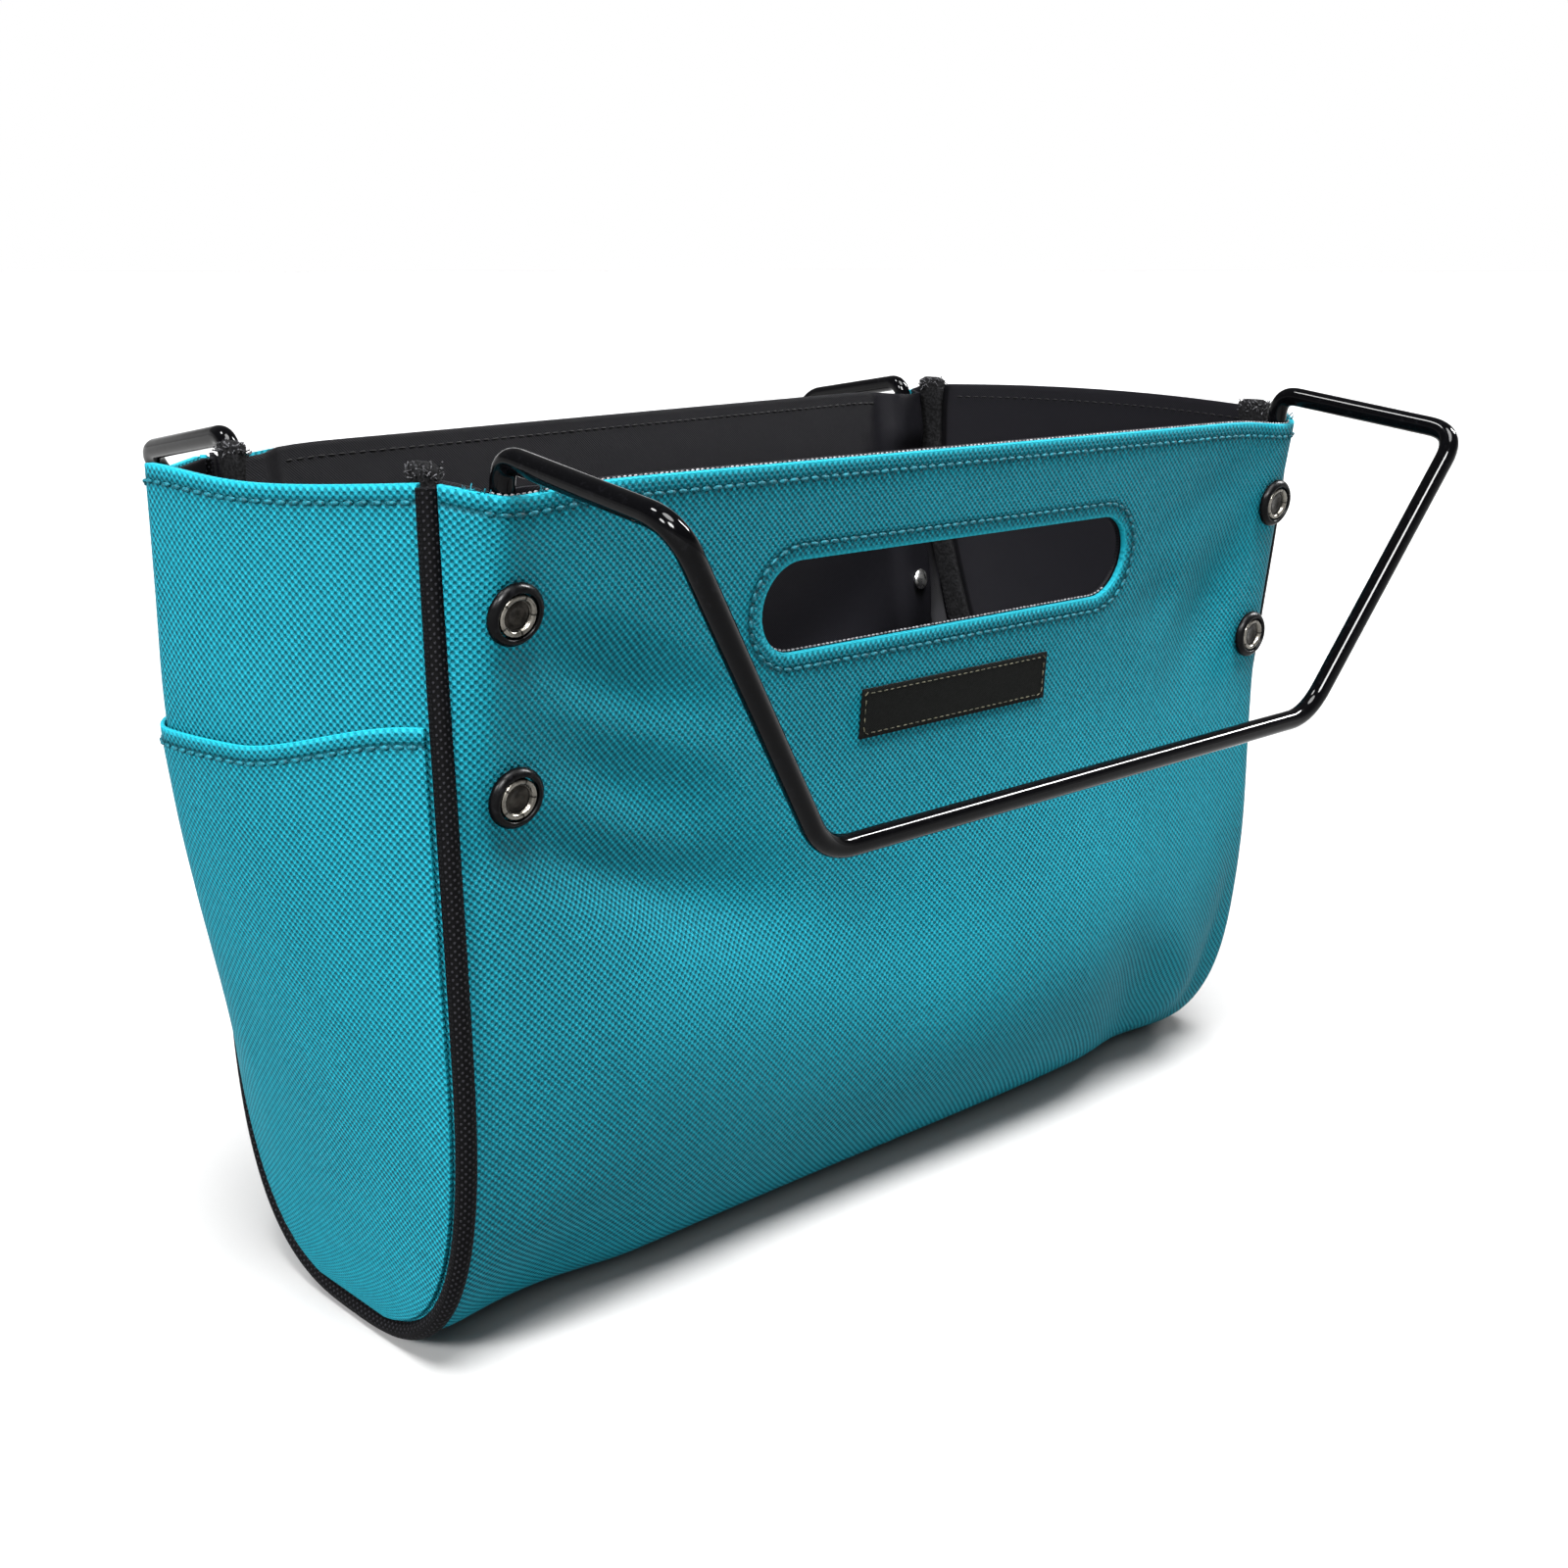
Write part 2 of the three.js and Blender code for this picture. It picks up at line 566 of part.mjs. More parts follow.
function addSeam(end, name) {
  const path = wrapRows.map(({ face, level }) => seamPoint(end, face, level, 0));
  path[0].z -= PIPING_BELOW_RIM;
  path[path.length - 1].z -= PIPING_BELOW_RIM;
  const size = { wide: PIPING_RADIUS, thick: PIPING_RADIUS };
  const side = vector(1, 0, 0);
  const piping = sweepSolid(path, side, side, () => size, PIPING_SIDES);
  addPart(`piping_${name}`, piping, MATERIALS.trim);

  const tape = wrapRows.map(({ face, level }) => seamPoint(end, face, level, 0));
  tape[0].z += BINDING_ABOVE_RIM;
  tape[tape.length - 1].z += BINDING_ABOVE_RIM;
  const rings = tape.map((point, i) => {
    const before = tape[Math.max(i - 1, 0)];
    const along = tape[Math.min(i + 1, tape.length - 1)].clone().sub(before).normalize();
    const inward = along.clone().cross(vector(-1, 0, 0));
    const corner = (reach, half) => point.clone().addScaledVector(inward, reach)
      .add(vector(-end * (BINDING_FROM_SEAM + half), 0, 0));
    const far = EDGE_INSET + BINDING_WIDTH;
    const half = BINDING_THICK / 2;
    return [corner(EDGE_INSET, -half), corner(far, -half), corner(far, half), corner(EDGE_INSET, half)];
  });
  addPart(`binding_${name}`, loftSolid(rings), MATERIALS.trim);
}

// One leg of a hook, from its lowest tab point up to the rim
function legPath(face, end) {
  const upper = RIVET_ROWS[0];
  const lower = RIVET_ROWS[1];
  const side = face < 0 ? end : -end;
  return [...LEG_TAB_ROWS, ...LEG_WIRE_ROWS].map((height) => {
    const reach = lower.x + (height - lower.z) * (upper.x - lower.x) / (upper.z - lower.z);
    const x = vector(side * reach, -HOOK_PLANE_Y, height).applyMatrix4(faceMatrix(face)).x;
    const depth = LEG_TAB_ROWS.includes(height) ? TAB_DEPTH : LEG_DEPTH;
    return panelPoint(face, { height }, x).addScaledVector(panelNormal(face, height, x), -depth);
  });
}

// Replace a corner of the wire by a curve that starts and ends a given distance from it
function bendPoints(before, corner, after, reach) {
  const start = corner.clone().add(before.clone().sub(corner).setLength(reach));
  const finish = corner.clone().add(after.clone().sub(corner).setLength(reach));
  return new THREE.QuadraticBezierCurve3(start, corner, finish).getPoints(BEND_STEPS);
}

function addHook(face, name) {
  const place = faceMatrix(face);
  const { skew, drop } = HOOK_POSE[name];
  const spot = (row, end) => (
    vector(end * row.x + row.sway * skew, row.y, row.z - drop).applyMatrix4(place));
  const firstEnd = -1;
  const firstLeg = legPath(face, face < 0 ? firstEnd : -firstEnd);
  const lastLeg = legPath(face, face < 0 ? -firstEnd : firstEnd).reverse();
  const corners = [
    { point: firstLeg[firstLeg.length - 1] },
    { point: spot(HOOK_TOP, firstEnd), reach: HOOK_TOP_BEND },
    { point: spot(HOOK_OUTER, firstEnd), reach: HOOK_BEND },
    { point: spot(HOOK_LOWER, firstEnd), reach: HOOK_BEND },
    { point: spot(HOOK_LOWER, -firstEnd), reach: HOOK_BEND },
    { point: spot(HOOK_OUTER, -firstEnd), reach: HOOK_BEND },
    { point: spot(HOOK_TOP, -firstEnd), reach: HOOK_TOP_BEND },
    { point: lastLeg[0] },
  ];
  const bends = corners.slice(1, -1).flatMap(({ point, reach }, k) => (
    bendPoints(corners[k].point, point, corners[k + 2].point, reach)));
  const path = [...firstLeg, ...bends, ...lastLeg];
  const flatCount = LEG_TAB_ROWS.length;
  const isTab = (i) => i < flatCount || i >= path.length - flatCount;
  const tab = { wide: TAB_HALF_WIDTH, thick: TAB_HALF_THICK };
  const wire = { wide: WIRE_RADIUS, thick: WIRE_RADIUS };
  const firstSide = vector(1, 0, 0).applyMatrix4(new THREE.Matrix4().extractRotation(place));
  const lastSide = firstSide.clone().negate();
  const bar = sweepSolid(path, firstSide, lastSide, (i) => (isTab(i) ? tab : wire), WIRE_SIDES);
  const holes = holeCutters(RIVET_SEATS.filter((row) => row.face === face));
  addPart(`hook_${name}`, cutSolid(bar, holes), MATERIALS.wire);
}

function latheSolid(profile) {
  const points = profile.map(([radius, height]) => new THREE.Vector2(radius, height));
  return new THREE.LatheGeometry(points, RIVET_SIDES);
}

function addRivet({ name, seat }) {
  const back = -(TAB_POCKET + CLOTH + WRAP_LINING_GAP + LINING + INNER_SEAT_GAP);
  const rivet = latheSolid([
    [0, back - INNER_HEAD_HEIGHT],
    [INNER_HEAD_RADIUS, back],
    [SHANK_RADIUS, back],
    [SHANK_RADIUS, SEAT_GAP],
    [RIVET_HEAD_RADIUS, SEAT_GAP],
    [RIVET_HEAD_RADIUS, RIVET_HEAD_HEIGHT],
    [RIVET_DISH_RADIUS, RIVET_HEAD_HEIGHT],
    [RIVET_DISH_RADIUS, RIVET_DISH_HEIGHT],
    [0, RIVET_DISH_HEIGHT],
  ]);
  addPart(`rivet_${name}`, seatGeometry(rivet, seat), MATERIALS.rivet);
  const cap = latheSolid([
    [CAP_INNER_RADIUS, CAP_SEAT_GAP],
    [CAP_OUTER_RADIUS, CAP_SEAT_GAP],
    [CAP_OUTER_RADIUS, CAP_EDGE_HEIGHT],
    [CAP_INNER_RADIUS, CAP_HEIGHT],
    [CAP_INNER_RADIUS, CAP_SEAT_GAP],
  ]);
  addPart(`rivet_cap_${name}`, seatGeometry(cap, seat), MATERIALS.trim);
}

function addLabel() {
  const columns = [-0.5, 0, 0.5].map((share) => LABEL_X + share * LABEL_WIDTH);
  const levels = [0.5, -0.5].map((share) => ({ height: LABEL_Z + share * LABEL_HEIGHT }));
  const grid = levels.map((level) => columns.map((x) => panelPoint(-1, level, x)));
  const patch = wallSolid(grid, -1, () => -SEAT_GAP - LABEL_THICK, () => -SEAT_GAP);
  addPart('label_patch', patch, MATERIALS.trim);
}

addWrap();
ENDS.forEach(({ end, name }) => addEnd(end, name));
ENDS.forEach(({ end, name }) => addSeam(end, name));
FACES.forEach(({ face, name }) => addHook(face, name));
RIVET_SEATS.forEach(addRivet);
addLabel();

// The middle of the lowest plane of the whole pouch is the origin
const bounds = new THREE.Box3().setFromObject(pouch);
const middle = bounds.getCenter(new THREE.Vector3());
pouch.position.set(-middle.x, -middle.y, -bounds.min.z);

export default pouch;
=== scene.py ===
# %% [markdown]
# # Ladder tool pouch
# This lesson dresses a tool pouch that hangs on a ladder: a lined bag of teal cloth with black piping, two
# bent wire hooks and eight rivets. The solids already exist, so the first cell loads them as a fixed frame.
# Each later cell builds one piece at a finer scale, in the place of its solid, and gives it its finish.

# %% Load the frame
import math

import bpy
import numpy as np
from mathutils import Matrix, Vector


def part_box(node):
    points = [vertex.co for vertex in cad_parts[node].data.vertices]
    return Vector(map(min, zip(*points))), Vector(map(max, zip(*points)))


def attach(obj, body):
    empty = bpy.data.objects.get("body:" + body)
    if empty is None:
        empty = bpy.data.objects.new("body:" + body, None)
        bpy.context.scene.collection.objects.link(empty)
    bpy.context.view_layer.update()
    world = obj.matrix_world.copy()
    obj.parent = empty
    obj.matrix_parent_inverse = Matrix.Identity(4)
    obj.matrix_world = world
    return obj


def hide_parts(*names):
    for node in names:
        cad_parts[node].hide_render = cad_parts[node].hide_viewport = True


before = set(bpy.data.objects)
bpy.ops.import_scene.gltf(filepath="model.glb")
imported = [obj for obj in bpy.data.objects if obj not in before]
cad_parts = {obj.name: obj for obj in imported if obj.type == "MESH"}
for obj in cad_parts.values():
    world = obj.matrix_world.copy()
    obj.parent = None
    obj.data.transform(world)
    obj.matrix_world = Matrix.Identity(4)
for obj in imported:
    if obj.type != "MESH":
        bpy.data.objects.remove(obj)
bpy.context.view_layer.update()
print("solids loaded:", len(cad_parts))

# %% [markdown]
# The bag has a middle plane of its own, which is not the middle of the whole object, because the cloth leans
# back. Both end seams run through it, so the boxes of the two piping cords tell where it is. All sizes below
# are in metres and are counted from that point on the floor: x to the right, y to the back, z up.

# %% The bag's own origin
left_low, left_high = (np.array(corner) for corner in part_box("piping_left"))
right_high = np.array(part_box("piping_right")[1])
ORIGIN = np.array([
    (left_low[0] + right_high[0]) / 2,
    (left_low[1] + left_high[1]) / 2,
    0.0,
])
print("bag origin in the frame:", ORIGIN.round(4))

# %% [markdown]
# The cloth follows a rule: seen from the end, each side goes straight down from the rim and then round a
# flattened foot. One number, the distance run down the cloth from the rim, names a level on that outline, so
# a pattern that is laid on the distance keeps its scale round the bend. The round part is a superellipse,
# which has no simple length, so its length is summed up in small steps once.

# %% The outline of the end seams
SEAM_X = 0.1576
RIM_Z = 0.214
ROUND_Z = 0.088
ROUND_DROP = 0.085
ROUND_SHARE = 2 / 2.9
FACE_DEPTH = 0.0525
STRAIGHT = RIM_Z - ROUND_Z

turn_steps = np.radians(np.linspace(0, 90, 600))
round_depths = FACE_DEPTH * np.maximum(np.cos(turn_steps), 0) ** ROUND_SHARE
round_heights = ROUND_Z - ROUND_DROP * np.sin(turn_steps) ** ROUND_SHARE
round_steps = np.hypot(np.diff(round_depths), np.diff(round_heights))
round_lengths = np.concatenate([[0], np.cumsum(round_steps)])
SIDE_LENGTH = STRAIGHT + round_lengths[-1]


def smooth(value, low, high):
    share = np.clip((value - low) / (high - low), 0, 1)
    return share * share * (3 - 2 * share)


def bell(distance, width):
    return np.exp(-((distance / width) ** 2))


def mound(distance, reach):
    return np.maximum(0, 1 - (distance / reach) ** 2) ** 2


def blend(first, second, share):
    return first + (second - first) * share


def round_turn(run):
    return np.interp(run - STRAIGHT, round_lengths, turn_steps)


def outline(run, foot, grow):
    turn = round_turn(run)
    depth = (foot + grow) * np.maximum(np.cos(turn), 0) ** ROUND_SHARE
    low = ROUND_Z - (ROUND_DROP + grow) * np.sin(turn) ** ROUND_SHARE
    return depth, np.where(run < STRAIGHT, RIM_Z - run, low)


def level_height(run):
    return outline(run, FACE_DEPTH, 0.0)[1]


print("cloth from rim to rim:", round(2 * SIDE_LENGTH, 3), "m")

# %% [markdown]
# The bag doesn't stand square: its rim is wider at the right end and its back is turned. Each of the four rim
# corners has its own depth and height, and its seam leans out to them between two heights. Front and back
# lean out a little near the rim. Folds are soft bells, some long and slanted, where the rivets pull the
# cloth.

# %% The shape of the wrap
CLOTH = 0.0016
CORNERS = {
    (-1, -1): {"foot": 0.0525, "depth": 0.049, "height": 0.214, "low": 0.060, "high": 0.214},
    (-1, 1): {"foot": 0.0525, "depth": 0.050, "height": 0.213, "low": 0.060, "high": 0.214},
    (1, -1): {"foot": 0.042, "depth": 0.052, "height": 0.213, "low": 0.090, "high": 0.214},
    (1, 1): {"foot": 0.0525, "depth": 0.101, "height": 0.2145, "low": 0.020, "high": 0.200},
}
RIM_CHANGE_Z = 0.188
FACE_SWELL = 0.0008
FOOT_SWELL = {-1: 0.005, 1: 0.014}
FOOT_SWELL_POWER = 8
FACE_LEAN = 0.0097
FACE_LEAN_Z = 0.125
FACE_LEAN_SOFT = 0.4
BACK_TURN = math.radians(7.5)
BACK_SHIFT = 0.022
BACK_TURN_Z = (0.020, 0.134)
HOOK_PLANE_Y = 0.0583
CORNER_WIDTH = 0.012
RIM_SAG = 0.001
LEG_X = 0.1452
LEG_DIP = 0.0018
LEG_DIP_WIDTH = 0.016

# Each fold: face, place, half lengths along and across it, turn in degrees, outward push
FOLDS = [
    {"face": -1, "x": 0.056, "z": 0.058, "long": 0.072, "wide": 0.046, "turn": 0, "push": 0.0080},
    {"face": -1, "x": -0.078, "z": 0.107, "long": 0.036, "wide": 0.015, "turn": -26, "push": -0.0058},
    {"face": -1, "x": -0.116, "z": 0.121, "long": 0.034, "wide": 0.008, "turn": -27, "push": -0.0044},
    {"face": -1, "x": -0.108, "z": 0.142, "long": 0.028, "wide": 0.009, "turn": -26, "push": -0.0042},
    {"face": -1, "x": -0.112, "z": 0.167, "long": 0.028, "wide": 0.008, "turn": -23, "push": -0.0043},
    {"face": -1, "x": -0.100, "z": 0.076, "long": 0.050, "wide": 0.024, "turn": -27, "push": 0.0030},
    {"face": -1, "x": -0.020, "z": 0.088, "long": 0.034, "wide": 0.016, "turn": -52, "push": -0.0018},
    {"face": -1, "x": 0.092, "z": 0.161, "long": 0.011, "wide": 0.009, "turn": 40, "push": -0.0016},
    {"face": -1, "x": 0.119, "z": 0.158, "long": 0.022, "wide": 0.012, "turn": 62, "push": -0.0034},
    {"face": -1, "x": 0.110, "z": 0.190, "long": 0.030, "wide": 0.008, "turn": 24, "push": -0.0008},
    {"face": -1, "x": 0.100, "z": 0.030, "long": 0.026, "wide": 0.012, "turn": -48, "push": -0.0046},
    {"face": -1, "x": 0.122, "z": 0.032, "long": 0.026, "wide": 0.009, "turn": -60, "push": 0.0020},
    {"face": -1, "x": 0.142, "z": 0.042, "long": 0.030, "wide": 0.009, "turn": 82, "push": -0.0036},
    {"face": -1, "x": -0.122, "z": 0.022, "long": 0.022, "wide": 0.011, "turn": 14, "push": -0.0030},
    {"face": 1, "x": -0.040, "z": 0.060, "long": 0.080, "wide": 0.044, "turn": 0, "push": 0.0060},
    {"face": 1, "x": 0.096, "z": 0.060, "long": 0.026, "wide": 0.034, "turn": 0, "push": -0.0026},
    {"face": 1, "x": 0.094, "z": 0.115, "long": 0.044, "wide": 0.014, "turn": 26, "push": -0.0050},
    {"face": 1, "x": -0.096, "z": 0.116, "long": 0.044, "wide": 0.014, "turn": -26, "push": -0.0048},
    {"face": 1, "x": -0.102, "z": 0.168, "long": 0.026, "wide": 0.010, "turn": -32, "push": -0.0030},
    {"face": 1, "x": 0.020, "z": 0.090, "long": 0.034, "wide": 0.016, "turn": 52, "push": -0.0018},
]
FOOT_LIFTS = [
    {"x": -0.126, "reach": 0.036, "lift": 0.0026},
    {"x": 0.118, "reach": 0.027, "lift": 0.0015},
]
FOOT_LIFT_Z = 0.040
print("folds:", len(FOLDS))

# %% [markdown]
# A point of the cloth is found from two numbers: how far along the strip it lies and how far to the right.
# The middle of each face has its own shape, and a narrow strip at each end eases it into the seam.

# %% Points of the wrap
def points_of(x, y, z):
    return np.stack(np.broadcast_arrays(x, y, z), axis=-1).astype(float)


def rim_share(height):
    return smooth(height, RIM_CHANGE_Z, RIM_Z)


def seam_point(end, face, run, grow):
    corner = CORNERS[(end, face)]
    depth, height = outline(run, corner["foot"], grow)
    lean = smooth(height, corner["low"], corner["high"])
    depth = depth + (corner["depth"] - corner["foot"]) * lean
    return points_of(end * SEAM_X, face * depth, height + (corner["height"] - RIM_Z) * rim_share(height))


def soft_lean(height):
    """Goes from 0 to 1 between the foot of the lean and the rim, with a soft start."""
    share = np.clip((height - FACE_LEAN_Z) / (RIM_Z - FACE_LEAN_Z), 0, 1)
    full = math.hypot(1, FACE_LEAN_SOFT) - FACE_LEAN_SOFT
    return (np.hypot(share, FACE_LEAN_SOFT) - FACE_LEAN_SOFT) / full


def fold_push(face, x, height):
    push = 0.0
    for fold in FOLDS:
        if fold["face"] == face:
            turn = math.radians(fold["turn"])
            along = (x - fold["x"]) * math.cos(turn) + (height - fold["z"]) * math.sin(turn)
            across = (height - fold["z"]) * math.cos(turn) - (x - fold["x"]) * math.sin(turn)
            push = push + fold["push"] * bell(along, fold["long"]) * bell(across, fold["wide"])
    return push


def face_point(face, run, x):
    foot = np.sin(round_turn(run)) ** FOOT_SWELL_POWER
    depth, height = outline(run, FACE_DEPTH, blend(FACE_SWELL, FOOT_SWELL[face], foot))
    side = smooth(depth, 0, FACE_DEPTH / 2)
    depth = depth + FACE_LEAN * soft_lean(height) + side * fold_push(face, x, height)
    if face > 0:
        beyond = (depth - HOOK_PLANE_Y) / math.cos(BACK_TURN)
        turned = HOOK_PLANE_Y + beyond + x * math.tan(BACK_TURN) + BACK_SHIFT
        depth = blend(depth, turned, smooth(height, *BACK_TURN_Z))
    left = CORNERS[(-1, face)]["height"]
    right = CORNERS[(1, face)]["height"]
    rim = blend(left, right, (x + SEAM_X) / (2 * SEAM_X)) - RIM_SAG
    dip = LEG_DIP * bell(np.abs(x) - LEG_X, LEG_DIP_WIDTH)
    lift = sum(row["lift"] * mound(x - row["x"], row["reach"]) for row in FOOT_LIFTS)
    low = 1 - smooth(height, 0, FOOT_LIFT_Z)
    z = np.maximum(0, height) + lift * low + (rim - dip - RIM_Z) * rim_share(height)
    return points_of(x, face * depth, z)


def side_point(face, run, x):
    left, right = (seam_point(end, face, run, CLOTH / 2) for end in (-1, 1))
    edge = np.where((x < 0)[..., None], left, right)
    middle = face_point(face, run, x)
    reach = np.clip((SEAM_X - np.abs(x)) / CORNER_WIDTH, 0, 1)
    share = np.sin(reach * math.pi / 2)
    y = blend(edge[..., 1], middle[..., 1], share)
    z = np.maximum(0, blend(edge[..., 2], middle[..., 2], share))
    return points_of(x, y, z)


def wrap_point(way, x):
    """A point of the wrap, a distance way from the front rim, under the foot and up to the back rim."""
    way, x = np.broadcast_arrays(np.asarray(way, float), np.asarray(x, float))
    front = side_point(-1, np.minimum(way, SIDE_LENGTH), x)
    back = side_point(1, np.minimum(2 * SIDE_LENGTH - way, SIDE_LENGTH), x)
    return np.where((way <= SIDE_LENGTH)[..., None], front, back)


NORMAL_STEP = 0.0005


def unit(vectors):
    return vectors / np.linalg.norm(vectors, axis=-1, keepdims=True)


def wrap_normal(way, x):
    down = wrap_point(way + NORMAL_STEP, x) - wrap_point(way - NORMAL_STEP, x)
    right = wrap_point(way, x + NORMAL_STEP) - wrap_point(way, x - NORMAL_STEP)
    return unit(np.cross(down, right))


print("front middle of the rim:", wrap_point(0.0, 0.0).round(4))

# %% [markdown]
# A piece of cloth is a grid of points, a wall of its thickness and a soft edge. The hand slots and the rivet
# holes are cut in the flat pattern, before the cloth is bent: faces inside a hole are left out, and the
# corners round it are pulled onto its edge. Solidify then gives the wall and Bevel rounds the cut edges.
# The flat pattern is kept as the UV map, in metres, and each point keeps its distance from the hemmed edge.

# %% Cloth from a flat pattern
EDGE_ROUNDING = 0.4
EDGE_ANGLE = math.radians(50)
FAR_FROM_HEM = 1.0


def put(name, data):
    """Makes an object of a mesh, a lamp or a camera and puts it in the scene."""
    obj = bpy.data.objects.new(name, data)
    bpy.context.scene.collection.objects.link(obj)
    return obj


def plain_mesh(obj):
    """Turns the evaluated object into a plain mesh and takes its modifiers away."""
    bpy.context.view_layer.update()
    graph = bpy.context.evaluated_depsgraph_get()
    mesh = bpy.data.meshes.new_from_object(
        obj.evaluated_get(graph), preserve_all_data_layers=True, depsgraph=graph)
    obj.modifiers.clear()
    old = obj.data
    obj.data = mesh
    mesh.name = obj.name
    bpy.data.meshes.remove(old)
    return obj


def mesh_object(name, points, faces, uv=None, attributes=None):
    mesh = bpy.data.meshes.new(name)
    mesh.from_pydata((np.asarray(points) + ORIGIN).tolist(), [], faces)
    if uv is not None:
        layer = mesh.uv_layers.new(name="pattern")
        corners = np.zeros(len(mesh.loops), dtype=np.int32)
        mesh.loops.foreach_get("vertex_index", corners)
        layer.data.foreach_set("uv", np.asarray(uv, dtype=np.float32)[corners].ravel())
    for label, values in (attributes or {}).items():
        kept = mesh.attributes.new(label, "FLOAT", "POINT")
        kept.data.foreach_set("value", np.asarray(values, np.float32))
    mesh.shade_smooth()
    return put(name, mesh)


def flat_grid(x, way):
    return np.stack(np.broadcast_arrays(x, way), axis=-1)


def hole_distance(hole, pattern):
    """Distance outside a round-ended hole in the flat pattern, and the way straight out of it."""
    offset = pattern - np.array([hole["x"], hole["way"]])
    offset[..., 0] -= np.clip(offset[..., 0], -hole["half"], hole["half"])
    length = np.linalg.norm(offset, axis=-1)
    out = offset / np.maximum(length, 1e-9)[..., None]
    return length - hole["radius"], out


def open_holes(pattern, holes):
    """Marks the faces to keep and pulls the pattern onto the edges of the holes."""
    centres = (pattern[:-1, :-1] + pattern[1:, :-1] + pattern[:-1, 1:] + pattern[1:, 1:]) / 4
    keep = np.ones(centres.shape[:2], bool)
    for hole in holes:
        inside = hole_distance(hole, centres)[0] < 0
        keep &= ~inside
        rim = np.zeros(pattern.shape[:2], bool)
        rows, columns = np.nonzero(inside)
        for down in (0, 1):
            for right in (0, 1):
                rim[rows + down, columns + right] = True
        distance, out = hole_distance(hole, pattern)
        pattern[rim] = (pattern - distance[..., None] * out)[rim]
    return keep


def cloth_object(name, pattern, place, thickness, holes=(), hem=None, flip=False):
    """A wall of cloth: pattern is a grid of flat places, place bends them into the room."""
    strides = np.linalg.norm(np.diff(place(pattern), axis=1), axis=-1)
    across = np.pad(np.cumsum(strides, axis=1), ((0, 0), (1, 0)))
    across -= across[:, [across.shape[1] // 2]]
    woven = np.stack([-across if flip else across, pattern[..., 1]], axis=-1)
    keep = open_holes(pattern, holes)
    points = place(pattern)
    rows, columns = pattern.shape[:2]
    index = np.arange(rows * columns).reshape(rows, columns)
    quads = np.stack([index[:-1, :-1], index[1:, :-1], index[1:, 1:], index[:-1, 1:]], axis=-1)[keep]
    if flip:
        quads = quads[:, ::-1]
    used, faces = np.unique(quads, return_inverse=True)
    faces = faces.reshape(-1, 4)
    flat = pattern.reshape(-1, 2)[used]
    edge = np.full(len(flat), FAR_FROM_HEM) if hem is None else hem(flat)
    uv = woven.reshape(-1, 2)[used]
    obj = mesh_object(name, points.reshape(-1, 3)[used], faces.tolist(), uv, {"hem": edge})
    wall = obj.modifiers.new("wall", "SOLIDIFY")
    wall.thickness = thickness
    wall.offset = -1
    wall.use_even_offset = True
    soft = obj.modifiers.new("soft edge", "BEVEL")
    soft.width = thickness * EDGE_ROUNDING
    soft.segments = 2
    soft.limit_method = "ANGLE"
    soft.angle_limit = EDGE_ANGLE
    return plain_mesh(obj)


def spaced(stops, steps):
    """Places between stops, each stretch cut into pieces of about its step."""
    places = [stops[0]]
    for start, finish, step in zip(stops[:-1], stops[1:], steps):
        count = max(1, round(abs(finish - start) / step))
        places.extend(np.linspace(start, finish, count + 1)[1:])
    return np.array(places)


print("a rim cut into even steps:", len(spaced([-SEAM_X, SEAM_X], [CLOTH])))

# %% [markdown]
# The body is one long strip of woven cloth: down the front, under the foot and up the back. It is the largest
# piece, so its grid is fine only near the hand slots and the rim.

# %% The wrap
EDGE_INSET = 0.0018
SLOT_HALF = 0.071
SLOT_RADIUS = 0.0117
SLOT_Z = 0.1773
RIVET_ROWS = {"upper": {"x": 0.144, "z": 0.1863}, "lower": {"x": 0.142, "z": 0.1445}}
HOLE_RADIUS = 0.0023
FACE_NAMES = {-1: "front", 1: "back"}
END_NAMES = {-1: "left", 1: "right"}


def way_at(face, height):
    run = RIM_Z - height
    return run if face < 0 else 2 * SIDE_LENGTH - run


def face_place(face, point):
    """Puts a point that is given for the front face on the given face."""
    if face < 0:
        return np.array(point)
    x, y, z = point
    x, y = -x, -y - HOOK_PLANE_Y
    cos, sin = math.cos(BACK_TURN), math.sin(BACK_TURN)
    return np.array([x * cos - y * sin, x * sin + y * cos + HOOK_PLANE_Y + BACK_SHIFT, z])


rivet_places = []
for face in FACE_NAMES:
    for end in END_NAMES:
        for row, spot in RIVET_ROWS.items():
            name = f"{FACE_NAMES[face]}_{END_NAMES[end]}_{row}"
            side = end if face < 0 else -end
            x = face_place(face, (side * spot["x"], -HOOK_PLANE_Y, spot["z"]))[0]
            rivet_places.append({"name": name, "x": x, "way": way_at(face, spot["z"])})


def hole_at(x, way, half, radius):
    return {"x": x, "way": way, "half": half, "radius": radius}


SLOT_STRETCH = {-1: 1.0, 1: math.cos(BACK_TURN)}
slot_holes = [
    hole_at(0.0, way_at(face, SLOT_Z), (SLOT_HALF - SLOT_RADIUS) * stretch, SLOT_RADIUS)
    for face, stretch in SLOT_STRETCH.items()
]
rivet_holes = [hole_at(row["x"], row["way"], 0.0, HOLE_RADIUS) for row in rivet_places]

SIDE_STOPS = [0.0, 0.006, 0.018, 0.056, STRAIGHT, SIDE_LENGTH]
SIDE_STEPS = [0.0012, 0.003, 0.0017, 0.003, 0.003]
side_rows = spaced(SIDE_STOPS, SIDE_STEPS)
wrap_rows = np.concatenate([side_rows, 2 * SIDE_LENGTH - side_rows[-2::-1]])
COLUMN_STOPS = [-1.0, -0.945, -0.48, -0.34, 0.34, 0.48, 0.945, 1.0]
COLUMN_STEPS = [0.006, 0.018, 0.0105, 0.018, 0.0105, 0.018, 0.006]
wrap_columns = spaced(COLUMN_STOPS, COLUMN_STEPS)


